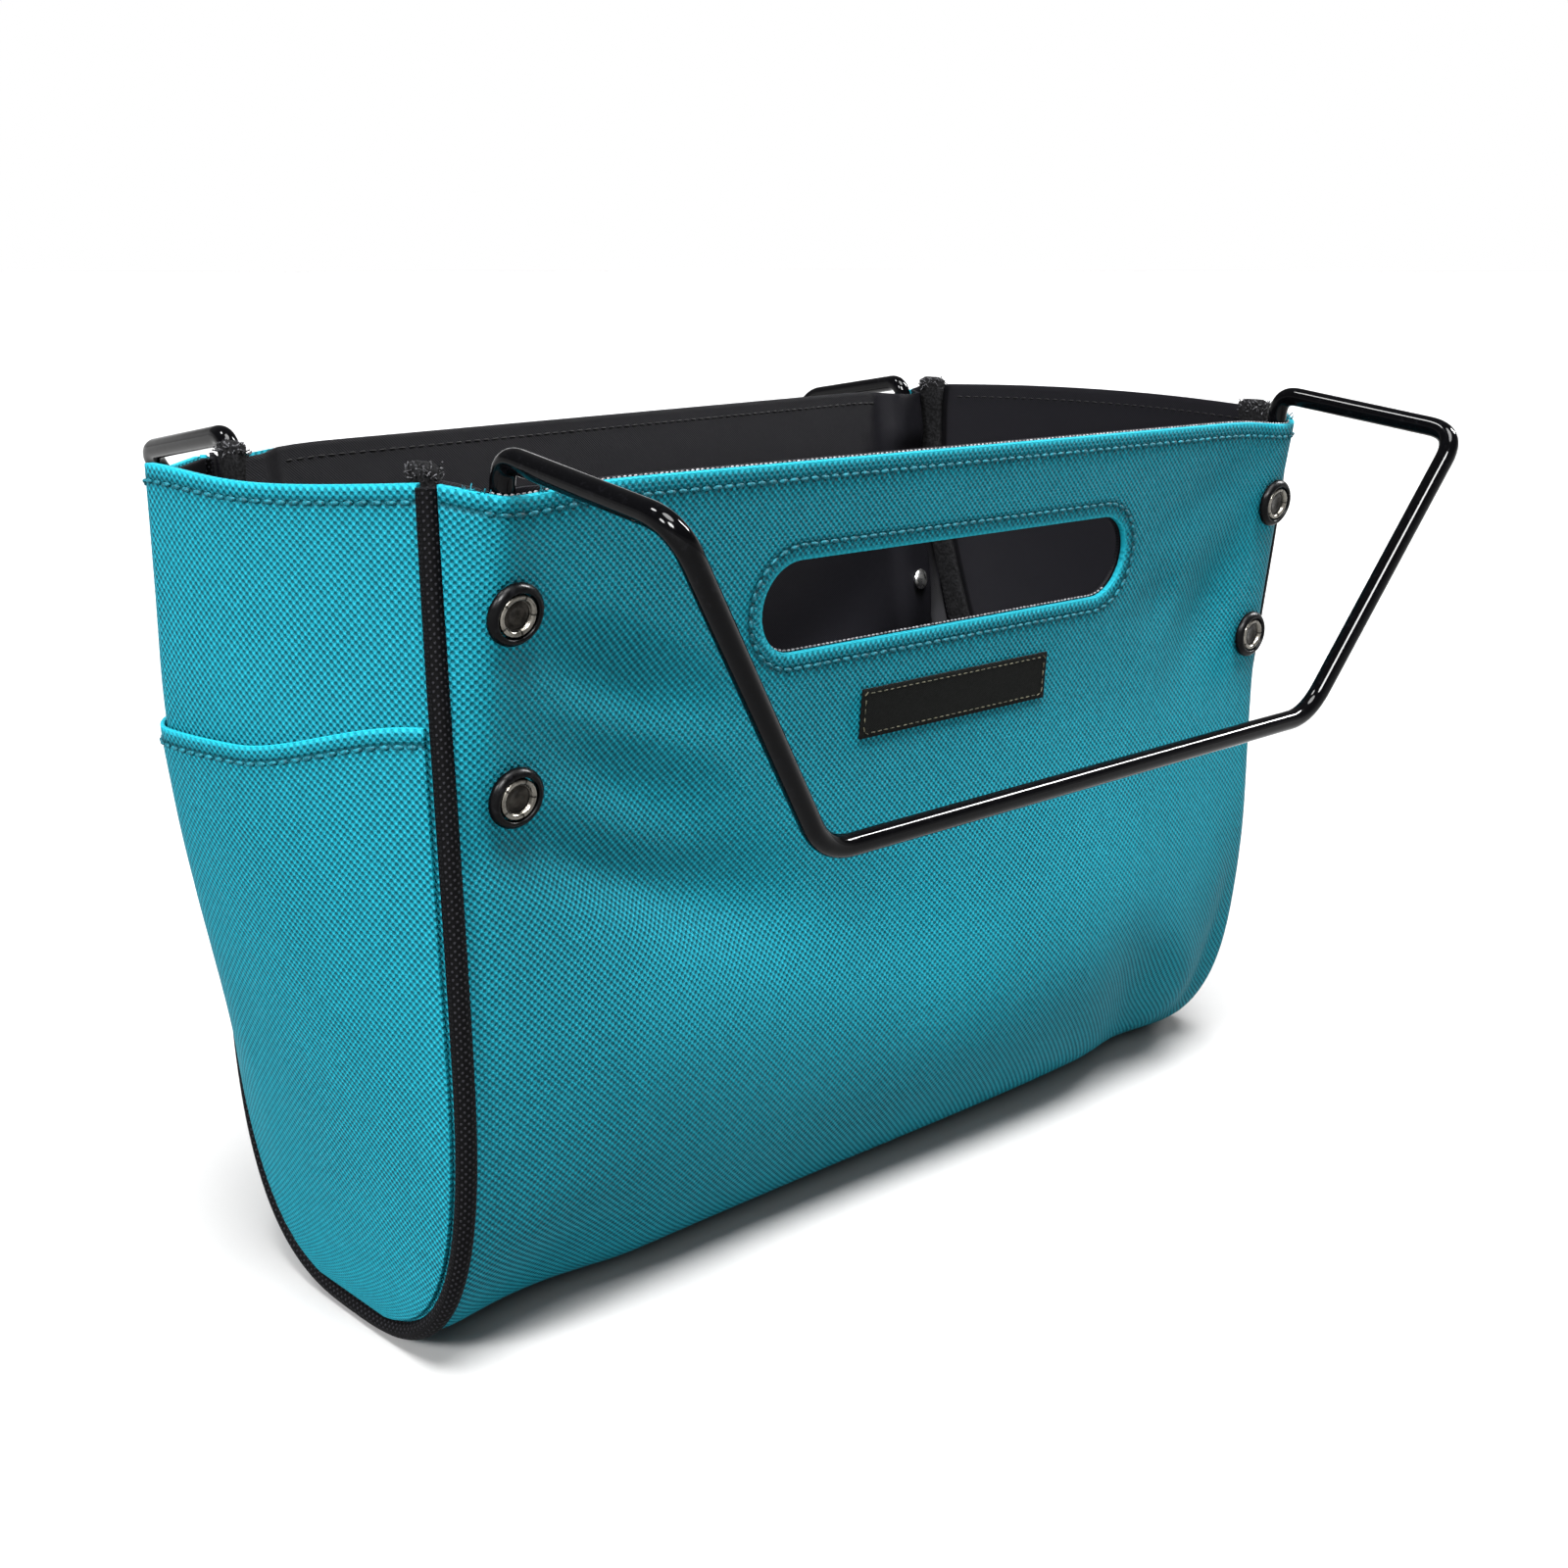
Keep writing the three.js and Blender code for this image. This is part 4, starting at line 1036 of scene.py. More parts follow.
def rivet_finish():
    material, tree, shader = new_finish("gunmetal", Metallic=1.0)
    spot = add_node(tree, "ShaderNodeAttribute", attribute_name="spot").outputs["Vector"]
    parts = add_node(tree, "ShaderNodeSeparateXYZ", {0: spot})
    x, y = parts.outputs[0], parts.outputs[1]
    radius = calc(tree, "SQRT", plus(tree, times(tree, x, x), times(tree, y, y)))
    ring = spread(tree, radius, *RING_RADIUS)
    notch = spread(tree, wave(tree, calc(tree, "ARCTAN2", y, x), 2 * math.pi / NOTCHES), 0.94, 0.98)
    wear = spread(tree, noise(tree, 420.0, 4.0), 0.3, 0.7)
    # Painted shade: the hollow dish inside the ring is darker than the ring.
    shaded_dish = mix_colour(tree, wear, (0.006, 0.0055, 0.0048, 1), (0.021, 0.019, 0.0165, 1))
    crown = mix_colour(tree, wear, (0.075, 0.070, 0.061, 1), (0.145, 0.136, 0.119, 1))
    # Painted shade: the notches in the ring are drawn only as dark marks.
    cut = mix_colour(tree, times(tree, notch, 0.85), crown, (0.006, 0.006, 0.005, 1))
    head = mix_colour(tree, ring, shaded_dish, cut)
    inner = spread(tree, parts.outputs[2], *INNER_HEAD_Z, 1.0, 0.0)
    bright = mix_colour(tree, wear, (0.42, 0.42, 0.41, 1), (0.62, 0.62, 0.61, 1))
    paint(tree, shader, inner, head, bright)
    gloss(tree, shader, 600.0, 0.20, 0.34)
    bumps(tree, shader, noise(tree, 1500.0, 3.0), 0.00005, 0.4)
    return material


def cap_finish():
    material, tree, shader = new_finish("black_cap", Specular_IOR_Level=0.05)
    rubbed = spread(tree, noise(tree, 500.0, 4.0), 0.55, 0.75)
    paint(tree, shader, rubbed, (0.0008, 0.0008, 0.001, 1), (0.005, 0.005, 0.006, 1))
    gloss(tree, shader, 300.0, 0.24, 0.40)
    bumps(tree, shader, noise(tree, 900.0, 2.0), 0.00005, 0.3)
    return material


WIRE_BLACK = wire_finish()
GUNMETAL = rivet_finish()
CAP_BLACK = cap_finish()
print("metal finishes:", [finish.name for finish in (WIRE_BLACK, GUNMETAL, CAP_BLACK)])

# %% [markdown]
# Tape, label and threads are all small woven things. The tape is fuzzy, so its noise is strong and it hardly
# shines. The label is a fine flat weave. A thread is a bundle of strands, which a fine noise shows.

# %% Trim and thread finishes
def tape_finish():
    material, tree, shader = new_finish("black_tape", Roughness=0.85, Specular_IOR_Level=0.04)
    fuzz = noise(tree, 1100.0, 4.0)
    paint(tree, shader, spread(tree, fuzz, 0.35, 0.7), (0.001, 0.001, 0.0012, 1), (0.006, 0.006, 0.0066, 1))
    bumps(tree, shader, fuzz, 0.0006, 0.9)
    return material


def label_finish():
    material, tree, shader = new_finish("label_weave", Roughness=0.65, Specular_IOR_Level=0.02)
    across, along = pattern_place(tree)
    ribs = times(tree, wave(tree, along, 0.00045), wave(tree, across, 0.0007))
    woven = spread(tree, plus(tree, ribs, noise(tree, 900.0)), -0.4, 1.3)
    paint(tree, shader, woven, (0.0012, 0.0014, 0.0012, 1), (0.0045, 0.005, 0.0045, 1))
    bumps(tree, shader, woven, 0.00012, 0.6)
    return material


def thread_finish(name, dark, bright):
    material, tree, shader = new_finish(name, Roughness=0.6, Specular_IOR_Level=0.08)
    strands = noise(tree, 1400.0, 2.0)
    paint(tree, shader, spread(tree, strands, 0.35, 0.65), dark, bright)
    bumps(tree, shader, strands, 0.0001, 0.5)
    return material


TAPE_BLACK = tape_finish()
LABEL_BLACK = label_finish()
TEAL_THREAD = thread_finish("teal_thread", (0.001, 0.032, 0.043, 1), (0.003, 0.092, 0.122, 1))
OLIVE_THREAD = thread_finish("olive_thread", (0.022, 0.022, 0.014, 1), (0.07, 0.066, 0.042, 1))
BLACK_THREAD = thread_finish("black_thread", (0.0006, 0.0006, 0.0008, 1), (0.002, 0.002, 0.0024, 1))
GREY_THREAD = thread_finish("grey_thread", (0.06, 0.06, 0.065, 1), (0.24, 0.24, 0.25, 1))
FRAY_GREY = thread_finish("fray_grey", (0.002, 0.002, 0.0025, 1), (0.065, 0.065, 0.07, 1))
print("finishes so far:", len(bpy.data.materials))

# %% [markdown]
# Piping is a cord inside a woven black sleeve, sewn into each end seam. A node tree sweeps a circle along
# the seam and keeps two numbers on each point, how far along and how far round it is, for the sleeve's
# diamond weave.

# %% The piping
PIPING_RADIUS = 0.0025
PIPING_BELOW_RIM = 0.001
PIPING_PITCH = 0.0019
PIPING_STEPS = [0.004, 0.0025]
PIPING_SIDES = 20


def piping_finish():
    material, tree, shader = new_finish("piping_weave", Roughness=0.65, Specular_IOR_Level=0.03)
    along = kept_number(tree, "along")
    round_way = times(tree, kept_number(tree, "around"), 2 * math.pi * PIPING_RADIUS)
    rising = wave(tree, plus(tree, along, round_way), PIPING_PITCH)
    falling = wave(tree, minus(tree, along, round_way), PIPING_PITCH)
    knots = times(tree, plus(tree, rising, falling), 0.5)
    raised = spread(tree, plus(tree, knots, times(tree, noise(tree, 1200.0), 0.4)), 0.35, 1.1)
    paint(tree, shader, raised, (0.0003, 0.0003, 0.0005, 1), (0.011, 0.011, 0.013, 1))
    bumps(tree, shader, raised, 0.0003, 0.9)
    return material


def piping_tree():
    tree, source, result = new_geometry_tree("piping along a seam", [
        ("Radius", "NodeSocketFloat"), ("Sides", "NodeSocketInt"), ("Material", "NodeSocketMaterial"),
    ])
    curve = add_node(tree, "GeometryNodeMeshToCurve", {"Mesh": source.outputs["Geometry"]}).outputs[0]
    length = add_node(tree, "GeometryNodeSplineParameter").outputs["Length"]
    marked = add_node(
        tree, "GeometryNodeStoreNamedAttribute", {"Geometry": curve, "Name": "along", "Value": length},
        data_type="FLOAT", domain="POINT").outputs[0]
    circle = add_node(tree, "GeometryNodeCurvePrimitiveCircle", {
        "Resolution": source.outputs["Sides"], "Radius": source.outputs["Radius"]}).outputs["Curve"]
    share = add_node(tree, "GeometryNodeSplineParameter").outputs["Factor"]
    ring = add_node(
        tree, "GeometryNodeStoreNamedAttribute", {"Geometry": circle, "Name": "around", "Value": share},
        data_type="FLOAT", domain="POINT").outputs[0]
    tube = add_node(tree, "GeometryNodeCurveToMesh", {
        "Curve": marked, "Profile Curve": ring, "Fill Caps": True}).outputs[0]
    return end_tree(tree, source, result, tube)


PIPING_WEAVE = piping_finish()
piping_maker = piping_tree()
pipings = {}
for end, name in END_NAMES.items():
    seam = seam_row(end, PIPING_STEPS)
    seam[[0, -1], 2] -= PIPING_BELOW_RIM
    path = path_object(f"piping_{name}_cord", seam, np.zeros_like(seam))
    pipings[end] = run_tree(path, piping_maker, {
        "Radius": PIPING_RADIUS, "Sides": PIPING_SIDES, "Material": PIPING_WEAVE})
print("piping faces:", [len(piece.data.polygons) for piece in pipings.values()])

# %% [markdown]
# A rivet is a turned shape, so it is drawn as a half section and spun. So is the black washer round its head.
# Each point keeps its place on the turned shape, which the finish reads.

# %% The shape of a rivet
RIVET_SIDES = 40
WELD_REACH = 0.00001
RIVET_SECTION = [
    (0.0, -0.0088), (0.0022, -0.0085), (0.0036, -0.0078), (0.0038, -0.0073), (0.0021, -0.0073),
    (0.002, -0.007), (0.002, 0.0002), (0.0022, 0.0003), (0.0047, 0.0003), (0.0049, 0.0005), (0.0049, 0.0021),
    (0.0047, 0.0025), (0.0044, 0.0026), (0.0040, 0.0026), (0.0037, 0.0024), (0.0035, 0.0019),
    (0.0034, 0.0017), (0.0031, 0.0017), (0.0028, 0.0019), (0.0018, 0.0016), (0.0, 0.0015),
]
CAP_SECTION = [
    (0.0053, 0.0006), (0.0070, 0.0006), (0.00725, 0.0008), (0.00725, 0.0013), (0.0071, 0.0018),
    (0.0066, 0.0024), (0.0060, 0.0028), (0.0056, 0.0028), (0.0053, 0.0026), (0.0053, 0.0006),
]


def turned_object(name, section):
    angles = 2 * math.pi * np.arange(RIVET_SIDES) / RIVET_SIDES
    profile = np.array(section)
    radius = profile[:, :1]
    height = np.broadcast_to(profile[:, 1:], (len(profile), RIVET_SIDES))
    points = points_of(radius * np.cos(angles), radius * np.sin(angles), height)
    mesh = bpy.data.meshes.new(name)
    mesh.from_pydata(points.reshape(-1, 3).tolist(), [], tube_faces(len(profile), RIVET_SIDES))
    spots = mesh.attributes.new("spot", "FLOAT_VECTOR", "POINT")
    spots.data.foreach_set("vector", points.astype(np.float32).ravel())
    obj = put(name, mesh)
    weld = obj.modifiers.new("weld", "WELD")
    weld.merge_threshold = WELD_REACH
    plain_mesh(obj)
    obj.data.shade_smooth()
    return obj


print("points of the two sections:", len(RIVET_SECTION), len(CAP_SECTION))

# %% [markdown]
# Each shape is drawn once, and a node tree sets a copy on every rivet place, with its axis straight off the
# cloth. The tree can also spin and shrink each copy at random, from a fixed seed. The rivets don't need that,
# but loose fibres will.

# %% The rivets
POINT_SEED = 3


def points_tree():
    tree, source, result = new_geometry_tree("shapes on points", [
        ("Shape", "NodeSocketObject"), ("Spin", "NodeSocketFloat"), ("Smallest", "NodeSocketFloat"),
        ("Material", "NodeSocketMaterial"),
    ])
    shape = add_node(tree, "GeometryNodeObjectInfo", {"Object": source.outputs["Shape"]}).outputs["Geometry"]
    dots = add_node(tree, "GeometryNodeMeshToPoints", {"Mesh": source.outputs["Geometry"]}).outputs[0]
    upright = add_node(
        tree, "FunctionNodeAlignRotationToVector", {"Vector": way_out(tree)}, axis="Z").outputs[0]
    angle = add_node(
        tree, "FunctionNodeRandomValue", {3: source.outputs["Spin"], "Seed": POINT_SEED},
        data_type="FLOAT").outputs[1]
    spin = add_node(tree, "ShaderNodeCombineXYZ", {2: angle}).outputs[0]
    turn = add_node(
        tree, "FunctionNodeRotateRotation", {"Rotation": upright, "Rotate By": spin},
        rotation_space="LOCAL").outputs[0]
    size = add_node(
        tree, "FunctionNodeRandomValue", {2: source.outputs["Smallest"], 3: 1.0, "Seed": POINT_SEED + 1},
        data_type="FLOAT").outputs[1]
    copies = add_node(tree, "GeometryNodeInstanceOnPoints", {
        "Points": dots, "Instance": shape, "Rotation": turn, "Scale": size}).outputs[0]
    return end_tree(tree, source, result, copies)


points_maker = points_tree()
rivet_ways = np.array([row["way"] for row in rivet_places])
rivet_xs = np.array([row["x"] for row in rivet_places])
seats = wrap_point(rivet_ways, rivet_xs)
axes = wrap_normal(rivet_ways, rivet_xs)


def set_of(name, section, material):
    shape = turned_object("one " + name, section)
    made = run_tree(path_object(name, seats, axes), points_maker, {
        "Shape": shape, "Spin": 0.0, "Smallest": 1.0, "Material": material})
    bpy.data.objects.remove(shape)
    return made


rivets = set_of("rivets", RIVET_SECTION, GUNMETAL)
rivet_caps = set_of("rivet_caps", CAP_SECTION, CAP_BLACK)
print("rivet faces:", len(rivets.data.polygons), "cap faces:", len(rivet_caps.data.polygons))

# %% [markdown]
# The label is a bare woven patch under the front slot. It follows the cloth and lies a hair above it.

# %% The label patch
LABEL = {"x": 0.003, "z": 0.146, "half_width": 0.037, "half_height": 0.0067, "thick": 0.0006, "gap": 0.0003}


def label_point(flat):
    way, x = flat[..., 1], flat[..., 0]
    return wrap_point(way, x) + wrap_normal(way, x) * (LABEL["gap"] + LABEL["thick"])


label_x = LABEL["x"] + np.linspace(-1, 1, 38) * LABEL["half_width"]
label_way = way_at(-1, LABEL["z"]) + np.linspace(-1, 1, 9) * LABEL["half_height"]
label_pattern = flat_grid(label_x, label_way[:, None])
label = cloth_object("label_patch_cloth", label_pattern, label_point, LABEL["thick"])
print("label faces:", len(label.data.polygons))

# %% [markdown]
# Rows of stitches hold the hems. The rows are paths on the cloth; a node tree cuts each path into even steps
# and sets a short rounded thread on every step, along the row and flat on the cloth. A fixed seed turns and
# sizes each stitch a little differently, as a sewing machine does on thick cloth.

# %% The stitch tree
STITCH_SEED = 7
STITCH_SWAY = 0.09
STITCH_SIZES = (0.9, 1.05)


def stitch_tree():
    tree, source, result = new_geometry_tree("stitches along a row", [
        ("Pitch", "NodeSocketFloat"), ("Length", "NodeSocketFloat"), ("Width", "NodeSocketFloat"),
        ("Material", "NodeSocketMaterial"),
    ])
    curve = add_node(tree, "GeometryNodeMeshToCurve", {"Mesh": source.outputs["Geometry"]}).outputs[0]
    steps = add_node(
        tree, "GeometryNodeResampleCurve", {"Curve": curve, "Length": source.outputs["Pitch"]},
        mode="LENGTH").outputs[0]
    tangent = add_node(tree, "GeometryNodeInputTangent").outputs[0]
    along = add_node(tree, "FunctionNodeAlignRotationToVector", {"Vector": tangent}, axis="X").outputs[0]
    flat = add_node(
        tree, "FunctionNodeAlignRotationToVector", {"Rotation": along, "Vector": way_out(tree)},
        axis="Z", pivot_axis="X").outputs[0]
    sway = add_node(
        tree, "FunctionNodeRandomValue",
        {"Min": (0, 0, -STITCH_SWAY), "Max": (0, 0, STITCH_SWAY), "Seed": STITCH_SEED},
        data_type="FLOAT_VECTOR").outputs[0]
    swayed = add_node(
        tree, "FunctionNodeRotateRotation", {"Rotation": flat, "Rotate By": sway},
        rotation_space="LOCAL").outputs[0]
    bead = add_node(
        tree, "GeometryNodeMeshUVSphere", {"Segments": 8, "Rings": 5, "Radius": 0.5}).outputs["Mesh"]
    size = add_node(tree, "ShaderNodeCombineXYZ", {
        0: source.outputs["Length"], 1: source.outputs["Width"], 2: source.outputs["Width"]}).outputs[0]
    thread = add_node(tree, "GeometryNodeTransform", {"Geometry": bead, "Scale": size}).outputs[0]
    scale = add_node(
        tree, "FunctionNodeRandomValue",
        {"Min": STITCH_SIZES[:1] * 3, "Max": STITCH_SIZES[1:] * 3, "Seed": STITCH_SEED + 1},
        data_type="FLOAT_VECTOR").outputs[0]
    copies = add_node(tree, "GeometryNodeInstanceOnPoints", {
        "Points": steps, "Instance": thread, "Rotation": swayed, "Scale": scale}).outputs[0]
    return end_tree(tree, source, result, copies)


stitch_maker = stitch_tree()
print("stitch tree nodes:", len(stitch_maker.nodes))

# %% [markdown]
# The rows lie a set distance inside the hems of the rim, the hand slots and the pockets, and inside the edge
# of the label. A row is a list of places with the way straight off the cloth at each of them.

# %% The rows of stitches
def on_wrap(x, way, above):
    x, way = np.broadcast_arrays(np.asarray(x, float), np.asarray(way, float))
    out = wrap_normal(way, x)
    return wrap_point(way, x) + out * above, out


def on_end(end, across, run, above):
    across, run = np.broadcast_arrays(np.asarray(across, float), np.asarray(run, float))
    out = gusset_normal(end, run, across, EDGE_INSET)
    return gusset_point(end, run, across, EDGE_INSET) + out * above, out


def slot_ring(hole, outside):
    radius = hole["radius"] + outside
    turn = np.linspace(-math.pi / 2, math.pi / 2, 25)
    x = np.concatenate([hole["half"] + radius * np.cos(turn), -hole["half"] - radius * np.cos(turn)])
    way = np.concatenate([radius * np.sin(turn), -radius * np.sin(turn)])
    return hole["x"] + x, hole["way"] + way


def dense(points, step=0.002):
    """Adds places between the corners of a closed row."""
    points = np.asarray(points)
    return np.concatenate([
        np.linspace(a, b, max(1, round(np.linalg.norm(b - a) / step)), endpoint=False)
        for a, b in zip(points, np.roll(points, -1, axis=0))
    ])


THREAD = {"Pitch": 0.0034, "Length": 0.0028, "Width": 0.0011, "Material": TEAL_THREAD}
THREAD_ABOVE = 0.0002
POCKET_STITCH_INSET = 0.0042
RIM_ROW_HALF = 0.150
stitch_rows = []
rim_x = np.linspace(-RIM_ROW_HALF, RIM_ROW_HALF, 160)
for face in FACE_NAMES:
    way = STITCH_INSET if face < 0 else 2 * SIDE_LENGTH - STITCH_INSET
    stitch_rows.append((*on_wrap(rim_x, way, THREAD_ABOVE), False))
for hole in slot_holes:
    ring = dense(flat_grid(*slot_ring(hole, STITCH_INSET)))
    stitch_rows.append((*on_wrap(*ring.T, THREAD_ABOVE), True))
end_row = np.linspace(-0.95, 0.95, 80)
pocket_run = np.full(len(end_row), pocket_start + POCKET_STITCH_INSET)
pocket_flat = flat_grid(end_row * END_HALF, pocket_run)
for end in END_NAMES:
    stitch_rows.append((*on_end(end, end_row, STITCH_INSET, THREAD_ABOVE), False))
    places = pocket_place(end, THREAD_ABOVE)(pocket_flat)
    stitch_rows.append((places, gusset_normal(end, pocket_run, end_row, POCKET_INSET), False))
made = [run_tree(path_object(f"row {k}", *row), stitch_maker, THREAD) for k, row in enumerate(stitch_rows)]
teal_stitches = join("teal_stitches", made)

LABEL_THREAD = {"Pitch": 0.0024, "Length": 0.0017, "Width": 0.00035, "Material": OLIVE_THREAD}
LABEL_STITCH_INSET = 0.0013
LABEL_THREAD_ABOVE = 0.00004
corner = np.array([LABEL["half_width"], LABEL["half_height"]]) - LABEL_STITCH_INSET
border = dense(np.array([[-1, -1], [1, -1], [1, 1], [-1, 1]]) * corner)
border_row = on_wrap(
    LABEL["x"] + border[:, 0], way_at(-1, LABEL["z"]) + border[:, 1],
    LABEL["gap"] + LABEL["thick"] + LABEL_THREAD_ABOVE)
label_stitches = run_tree(path_object("label_stitches", *border_row, True), stitch_maker, LABEL_THREAD)
print("stitch faces:", len(teal_stitches.data.polygons), len(label_stitches.data.polygons))

# %% [markdown]
# The lining's own woven edge shows as a thin dotted grey line along the front rim and under the front slot.
# Inside, a row of black stitches holds the lining's hem. Both are rows of threads, so the same tree makes
# them.

# %% The edges of the lining
EDGE_THREAD = {"Pitch": 0.0015, "Length": 0.0011, "Width": 0.0006, "Material": GREY_THREAD}
EDGE_GAP = 0.0003
EDGE_ABOVE_RIM = 0.0002
EDGE_DEPTH = CLOTH + EDGE_GAP
SLOT_LOW_SHARE = 0.8
LINING_FACE = CLOTH + LINING_GAP + LINING
INNER_THREAD = {"Pitch": 0.0034, "Length": 0.0026, "Width": 0.0007, "Material": BLACK_THREAD}
INNER_ROW_HALF = 0.126
front_slot = slot_holes[0]
low_side = dense(flat_grid(*slot_ring(front_slot, -EDGE_GAP)))
low_side = low_side[low_side[:, 1] > front_slot["way"] + SLOT_RADIUS * SLOT_LOW_SHARE]
low_side = low_side[np.argsort(low_side[:, 0])]
edge_rows = [on_wrap(rim_x, -EDGE_ABOVE_RIM, -EDGE_DEPTH), on_wrap(*low_side.T, -EDGE_DEPTH)]
lining_edge = join("lining_edge", [
    run_tree(path_object(f"edge {k}", *row), stitch_maker, EDGE_THREAD) for k, row in enumerate(edge_rows)])

inner_x = np.linspace(-INNER_ROW_HALF, INNER_ROW_HALF, 130)
inner_rows = [on_wrap(inner_x, way, -LINING_FACE) for way in (STITCH_INSET, 2 * SIDE_LENGTH - STITCH_INSET)]
inner_rows += [on_end(end, np.linspace(-0.8, 0.8, 60), STITCH_INSET, -LINING_FACE) for end in END_NAMES]
lining_stitches = join("lining_stitches", [
    run_tree(path_object(f"inner {k}", *row), stitch_maker, INNER_THREAD)
    for k, row in enumerate(inner_rows)])
print("edge faces:", len(lining_edge.data.polygons))
print("inner stitch faces:", len(lining_stitches.data.polygons))

# %% [markdown]
# Where the tape and the cloth are cut, short ends of yarn stick out. One bent fibre is drawn, and the tree
# that set the rivets sets it on scattered points with a random spin and size. The scatter has a fixed seed.

# %% The frayed ends
FIBRE_LENGTH = 0.0024
FIBRE_RADIUS = 0.00022
FIBRE_BEND = 0.35
FIBRE_SMALLEST = 0.35
FIBRE_LEAN = 1.3
TUFT_HALF = np.array([BINDING_THICK * 0.7, BINDING_WIDTH * 0.52, BINDING_ABOVE_RIM * 0.5])
TUFT_RISE = 0.0008
YARN_BELOW_RIM = 0.0003
STUB_FIBRES = 220
FRAY_SEED = 11
# Where cut yarn shows along the front rim: middle, half width and number of ends
FRAYED_SPOTS = [
    {"x": -0.1525, "half": 0.0025, "count": 16}, {"x": -0.134, "half": 0.006, "count": 16},
    {"x": 0.153, "half": 0.002, "count": 10},
]
scatter = np.random.default_rng(FRAY_SEED)


def fibre_object():
    rise = np.linspace(0, 1, 5)
    path = points_of(FIBRE_BEND * FIBRE_LENGTH * rise**2, 0 * rise, FIBRE_LENGTH * rise) - ORIGIN
    return bar_object("one fibre", path, (1, 0, 0), (1, 0, 0), FIBRE_RADIUS, FIBRE_RADIUS, 4)


def fray(name, points, material):
    shape = fibre_object()
    out = unit(np.array([0, 0, 1]) + scatter.uniform(-FIBRE_LEAN, FIBRE_LEAN, (len(points), 3)))
    made = run_tree(path_object(name, points, out), points_maker, {
        "Shape": shape, "Spin": 2 * math.pi, "Smallest": FIBRE_SMALLEST, "Material": material})
    bpy.data.objects.remove(shape)
    return made


stub_points = []
for end in END_NAMES:
    for face in FACE_NAMES:
        top = seam_point(end, face, np.array([0.0]), 0.0)[0]
        spread_out = scatter.uniform(-1, 1, (STUB_FIBRES, 3))
        inside = face * (BINDING_INSET + BINDING_WIDTH / 2)
        middle = np.array([-end * BINDING_FROM_SEAM, -inside, TUFT_RISE])
        stub_points.append(top + middle + spread_out * TUFT_HALF)
tape_fuzz = fray("tape_fuzz", np.concatenate(stub_points), FRAY_GREY)
rim_points = []
for row in FRAYED_SPOTS:
    yarn_x = scatter.uniform(row["x"] - row["half"], row["x"] + row["half"], row["count"])
    rim_points.append(on_wrap(yarn_x, YARN_BELOW_RIM, -CLOTH / 2)[0])
rim_points = np.concatenate(rim_points)
frayed_yarn = fray("frayed_yarn", rim_points, TEAL_THREAD)
print("fibres:", len(rim_points) + 4 * STUB_FIBRES)

# %% [markdown]
# Every finished piece gets its material here, takes the place of its solid and moves with the one body of
# the pouch.

# %% Put the pieces on the frame
def dress(piece, material, slot, *nodes):
    if material is not None:
        piece.data.materials.clear()
        piece.data.materials.append(material)
    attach(piece, "root")
    if nodes:
        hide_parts(*nodes)


dress(body_panel, TEAL, "teal_cloth", "body_panel")
dress(body_lining, LINING_BLACK, "black_lining", "body_lining")
for end, name in END_NAMES.items():
    dress(gussets[end], TEAL, "teal_cloth", f"gusset_{name}")
    dress(gusset_linings[end], LINING_BLACK, "black_lining", f"gusset_lining_{name}")
    dress(pockets[end], TEAL, "teal_cloth", f"pocket_{name}")
    dress(pipings[end], None, "black_trim", f"piping_{name}")
    dress(bindings[end], TAPE_BLACK, "black_trim", f"binding_{name}")
for face, name in FACE_NAMES.items():
    dress(hooks[face], WIRE_BLACK, "black_wire", f"hook_{name}")
dress(rivets, None, "gunmetal", *(f"rivet_{row['name']}" for row in rivet_places))
dress(rivet_caps, None, "black_cap", *(f"rivet_cap_{row['name']}" for row in rivet_places))
dress(label, LABEL_BLACK, "black_trim", "label_patch")
dress(teal_stitches, None, "teal_cloth")
dress(label_stitches, None, "black_trim")
dress(lining_edge, None, "black_lining")
dress(lining_stitches, None, "black_lining")
dress(tape_fuzz, None, "black_trim")
dress(frayed_yarn, None, "teal_cloth")

for end, width, area, lining_area in ((-1, 0.114, 0.0217, 0.0207), (1, 0.156, 0.0244, 0.0238)):
    name = END_NAMES[end]
print("the pieces are on the frame")

# %% [markdown]
# The floor is plain and pale, and the light is soft: a large lamp almost overhead, which sets the upper side
# of each fold apart from its lower side, a second lamp from the left for the end panel, and a weak one from
# behind that doesn't show in shiny things. Small lamps that show in shiny things alone draw the white streaks
# along the wire: a round bar mirrors a lamp to the eye wherever both lie at the same slant to its axis.

# %% Floor and light
FLOOR_HALF = 60
FLOOR_GREY = (0.25, 0.25, 0.25, 1)
floor_corners = [(x * FLOOR_HALF, y * FLOOR_HALF, 0) for x, y in ((-1, -1), (1, -1), (1, 1), (-1, 1))]
floor_mesh = bpy.data.meshes.new("floor")
floor_mesh.from_pydata(floor_corners, [], [(0, 1, 2, 3)])
floor = put("floor", floor_mesh)
floor.data.materials.append(new_finish("pale_floor", Roughness=0.7, Base_Color=FLOOR_GREY)[0])


def sun(name, toward, strength, softness):
    """A wide far lamp that shines from a direction, so that the whole floor is lit evenly."""
    data = bpy.data.lights.new(name, "SUN")
    data.energy = strength
    data.angle = math.radians(softness)
    obj = put(name, data)
    obj.rotation_euler = Vector(toward).to_track_quat("Z", "Y").to_euler()
    return obj


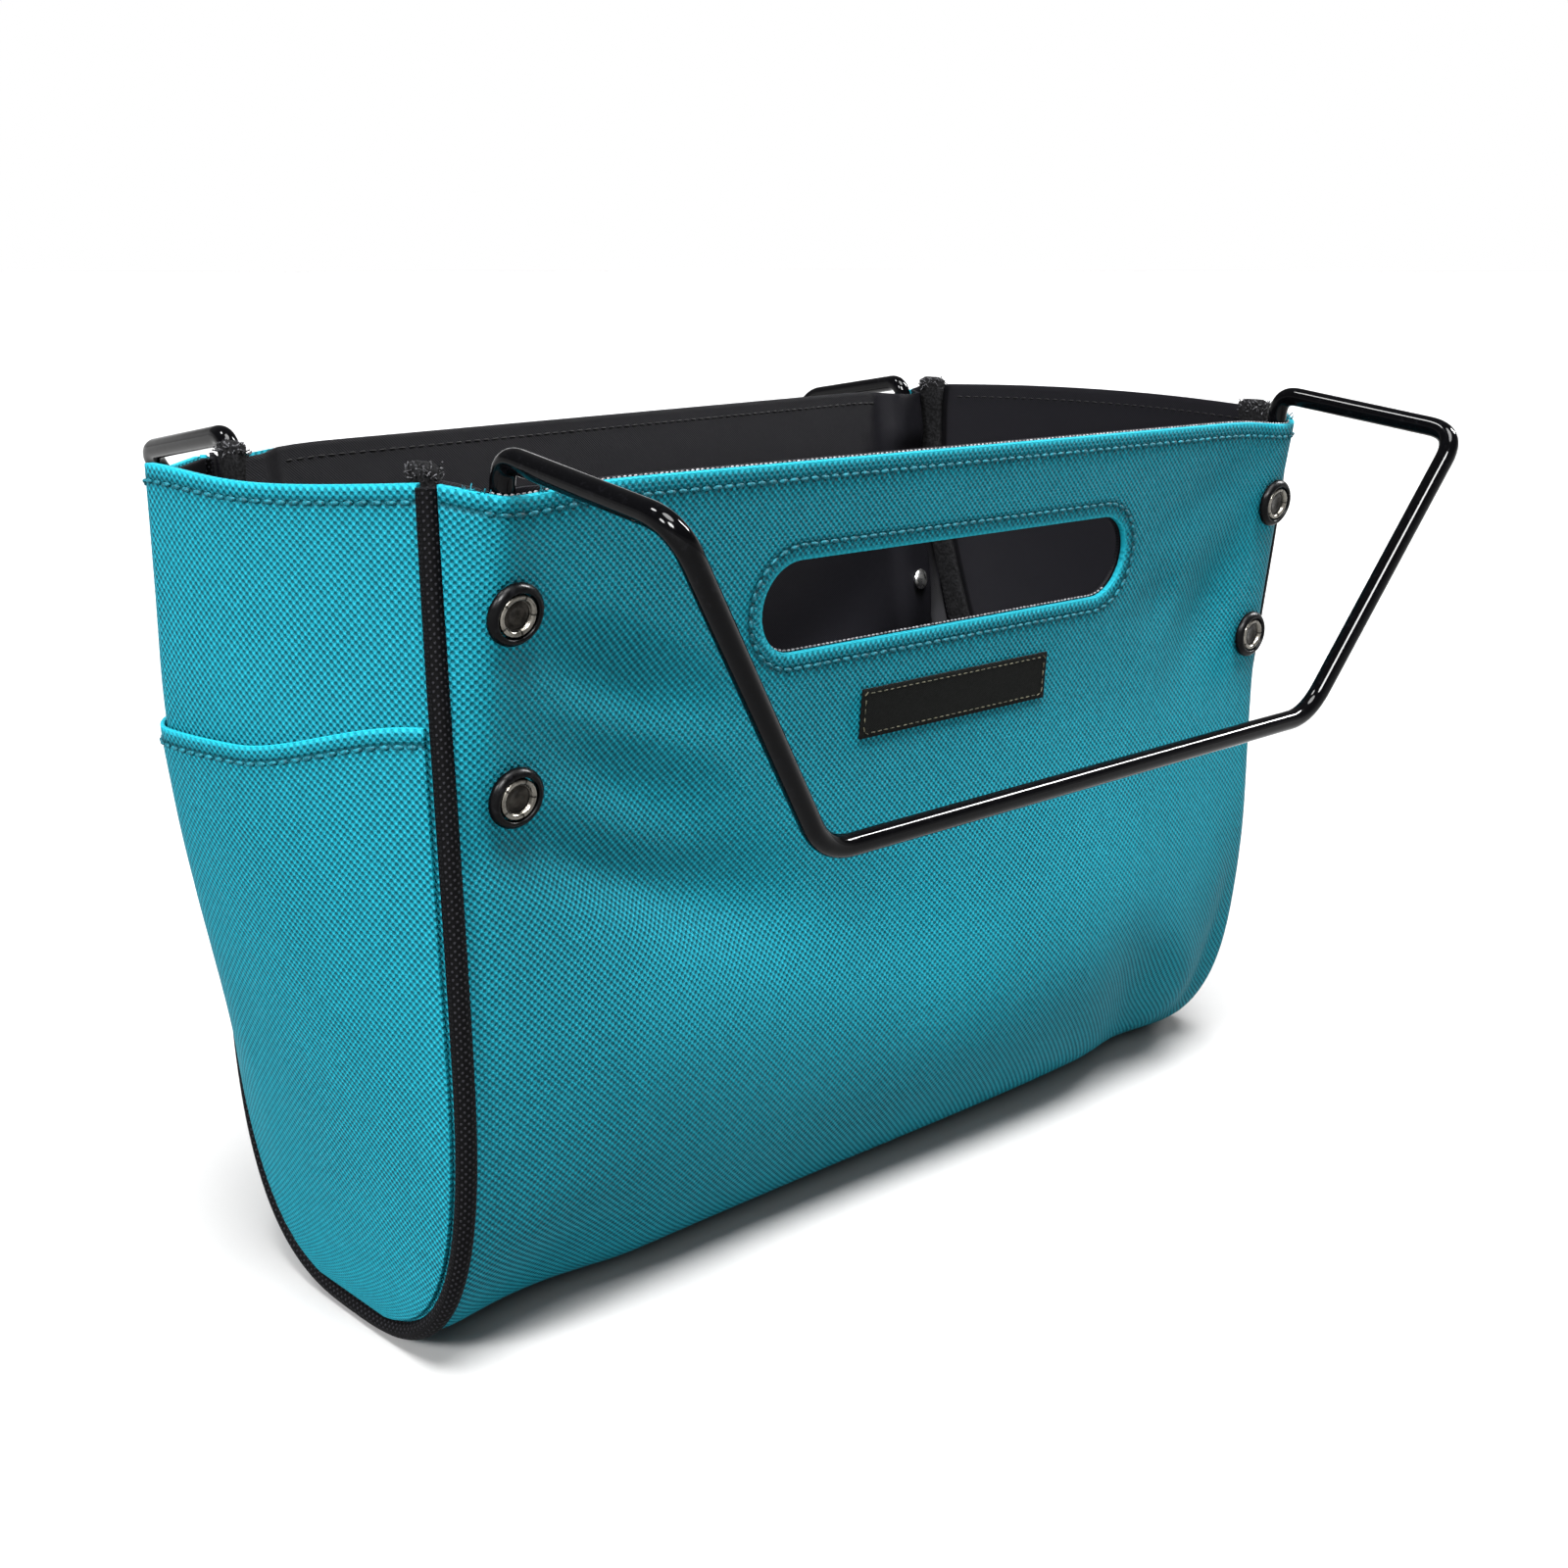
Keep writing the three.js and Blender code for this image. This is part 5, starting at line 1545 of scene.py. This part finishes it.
# Each lamp: name, the way towards it, strength, and how wide it is in degrees
LAMPS = [("key", (-0.10, -0.27, 0.96), 11.6, 28), ("side", (-0.83, -0.12, 0.54), 6.8, 14)]
BACK_LAMP = ("fill", (0.25, 0.82, 0.52), 1.8, 40)
BAR_REACH = (0.66, 0.75, 0.83)
BAR_FORWARD = -0.20
GLINTS = [
    ("lower_bar_glint", (reach, BAR_FORWARD, math.sqrt(1 - BAR_FORWARD**2 - reach**2)), 3.0, 8)
    for reach in BAR_REACH
]
GLINTS.append(("right_arm_glint", (-0.55, -0.56, 0.62), 15.0, 18))
GLINTS.append(("right_top_glint", (-0.35, 0.29, 0.89), 4.0, 12))
for lamp in LAMPS:
    sun(*lamp)
sun(*BACK_LAMP).visible_glossy = False
for lamp in GLINTS:
    sun(*lamp).visible_diffuse = False
print("lamps:", len(LAMPS) + 1 + len(GLINTS))

# The sky is white near the horizon and dim above
SKY_FADE = (0.14, 0.30)
SKY_LOW = 1.0
SKY_HIGH = 0.20
world = bpy.data.worlds.new("studio")
bpy.context.scene.world = world
world.use_nodes = True
sky = world.node_tree
sky_way = add_node(sky, "ShaderNodeTexCoord").outputs["Generated"]
sky_height = add_node(sky, "ShaderNodeSeparateXYZ", {0: sky_way}).outputs[2]
brightness = spread(sky, sky_height, *SKY_FADE, SKY_LOW, SKY_HIGH)
sky.nodes["Background"].inputs["Color"].default_value = (1, 1, 1, 1)
sky.links.new(brightness, sky.nodes["Background"].inputs["Strength"])
bpy.context.scene.view_settings.view_transform = "Standard"

# %% [markdown]
# The photograph was taken close by, a little above the pouch and towards its left end. The camera's place and
# its two ways were fitted to the seams, rims, rivets and hook corners, and so was the lens.

# %% The camera
CAMERA_PLACE = np.array([-0.3792, -0.3914, 0.2577])
CAMERA_RIGHT = np.array([0.72681, -0.68684, 0.0])
CAMERA_FORWARD = np.array([0.66306, 0.70165, -0.26086])
CAMERA_LENS = 44.13
CAMERA_SENSOR = 36
up = np.cross(CAMERA_RIGHT, CAMERA_FORWARD)
turn = Matrix([CAMERA_RIGHT, up, -CAMERA_FORWARD]).transposed()
camera_data = bpy.data.cameras.new("camera")
camera_data.lens = CAMERA_LENS
camera_data.sensor_width = CAMERA_SENSOR
camera = put("camera", camera_data)
camera.matrix_world = Matrix.Translation(Vector(CAMERA_PLACE + ORIGIN)) @ turn.to_4x4()
bpy.context.scene.camera = camera
print("camera at", (CAMERA_PLACE + ORIGIN).round(3))
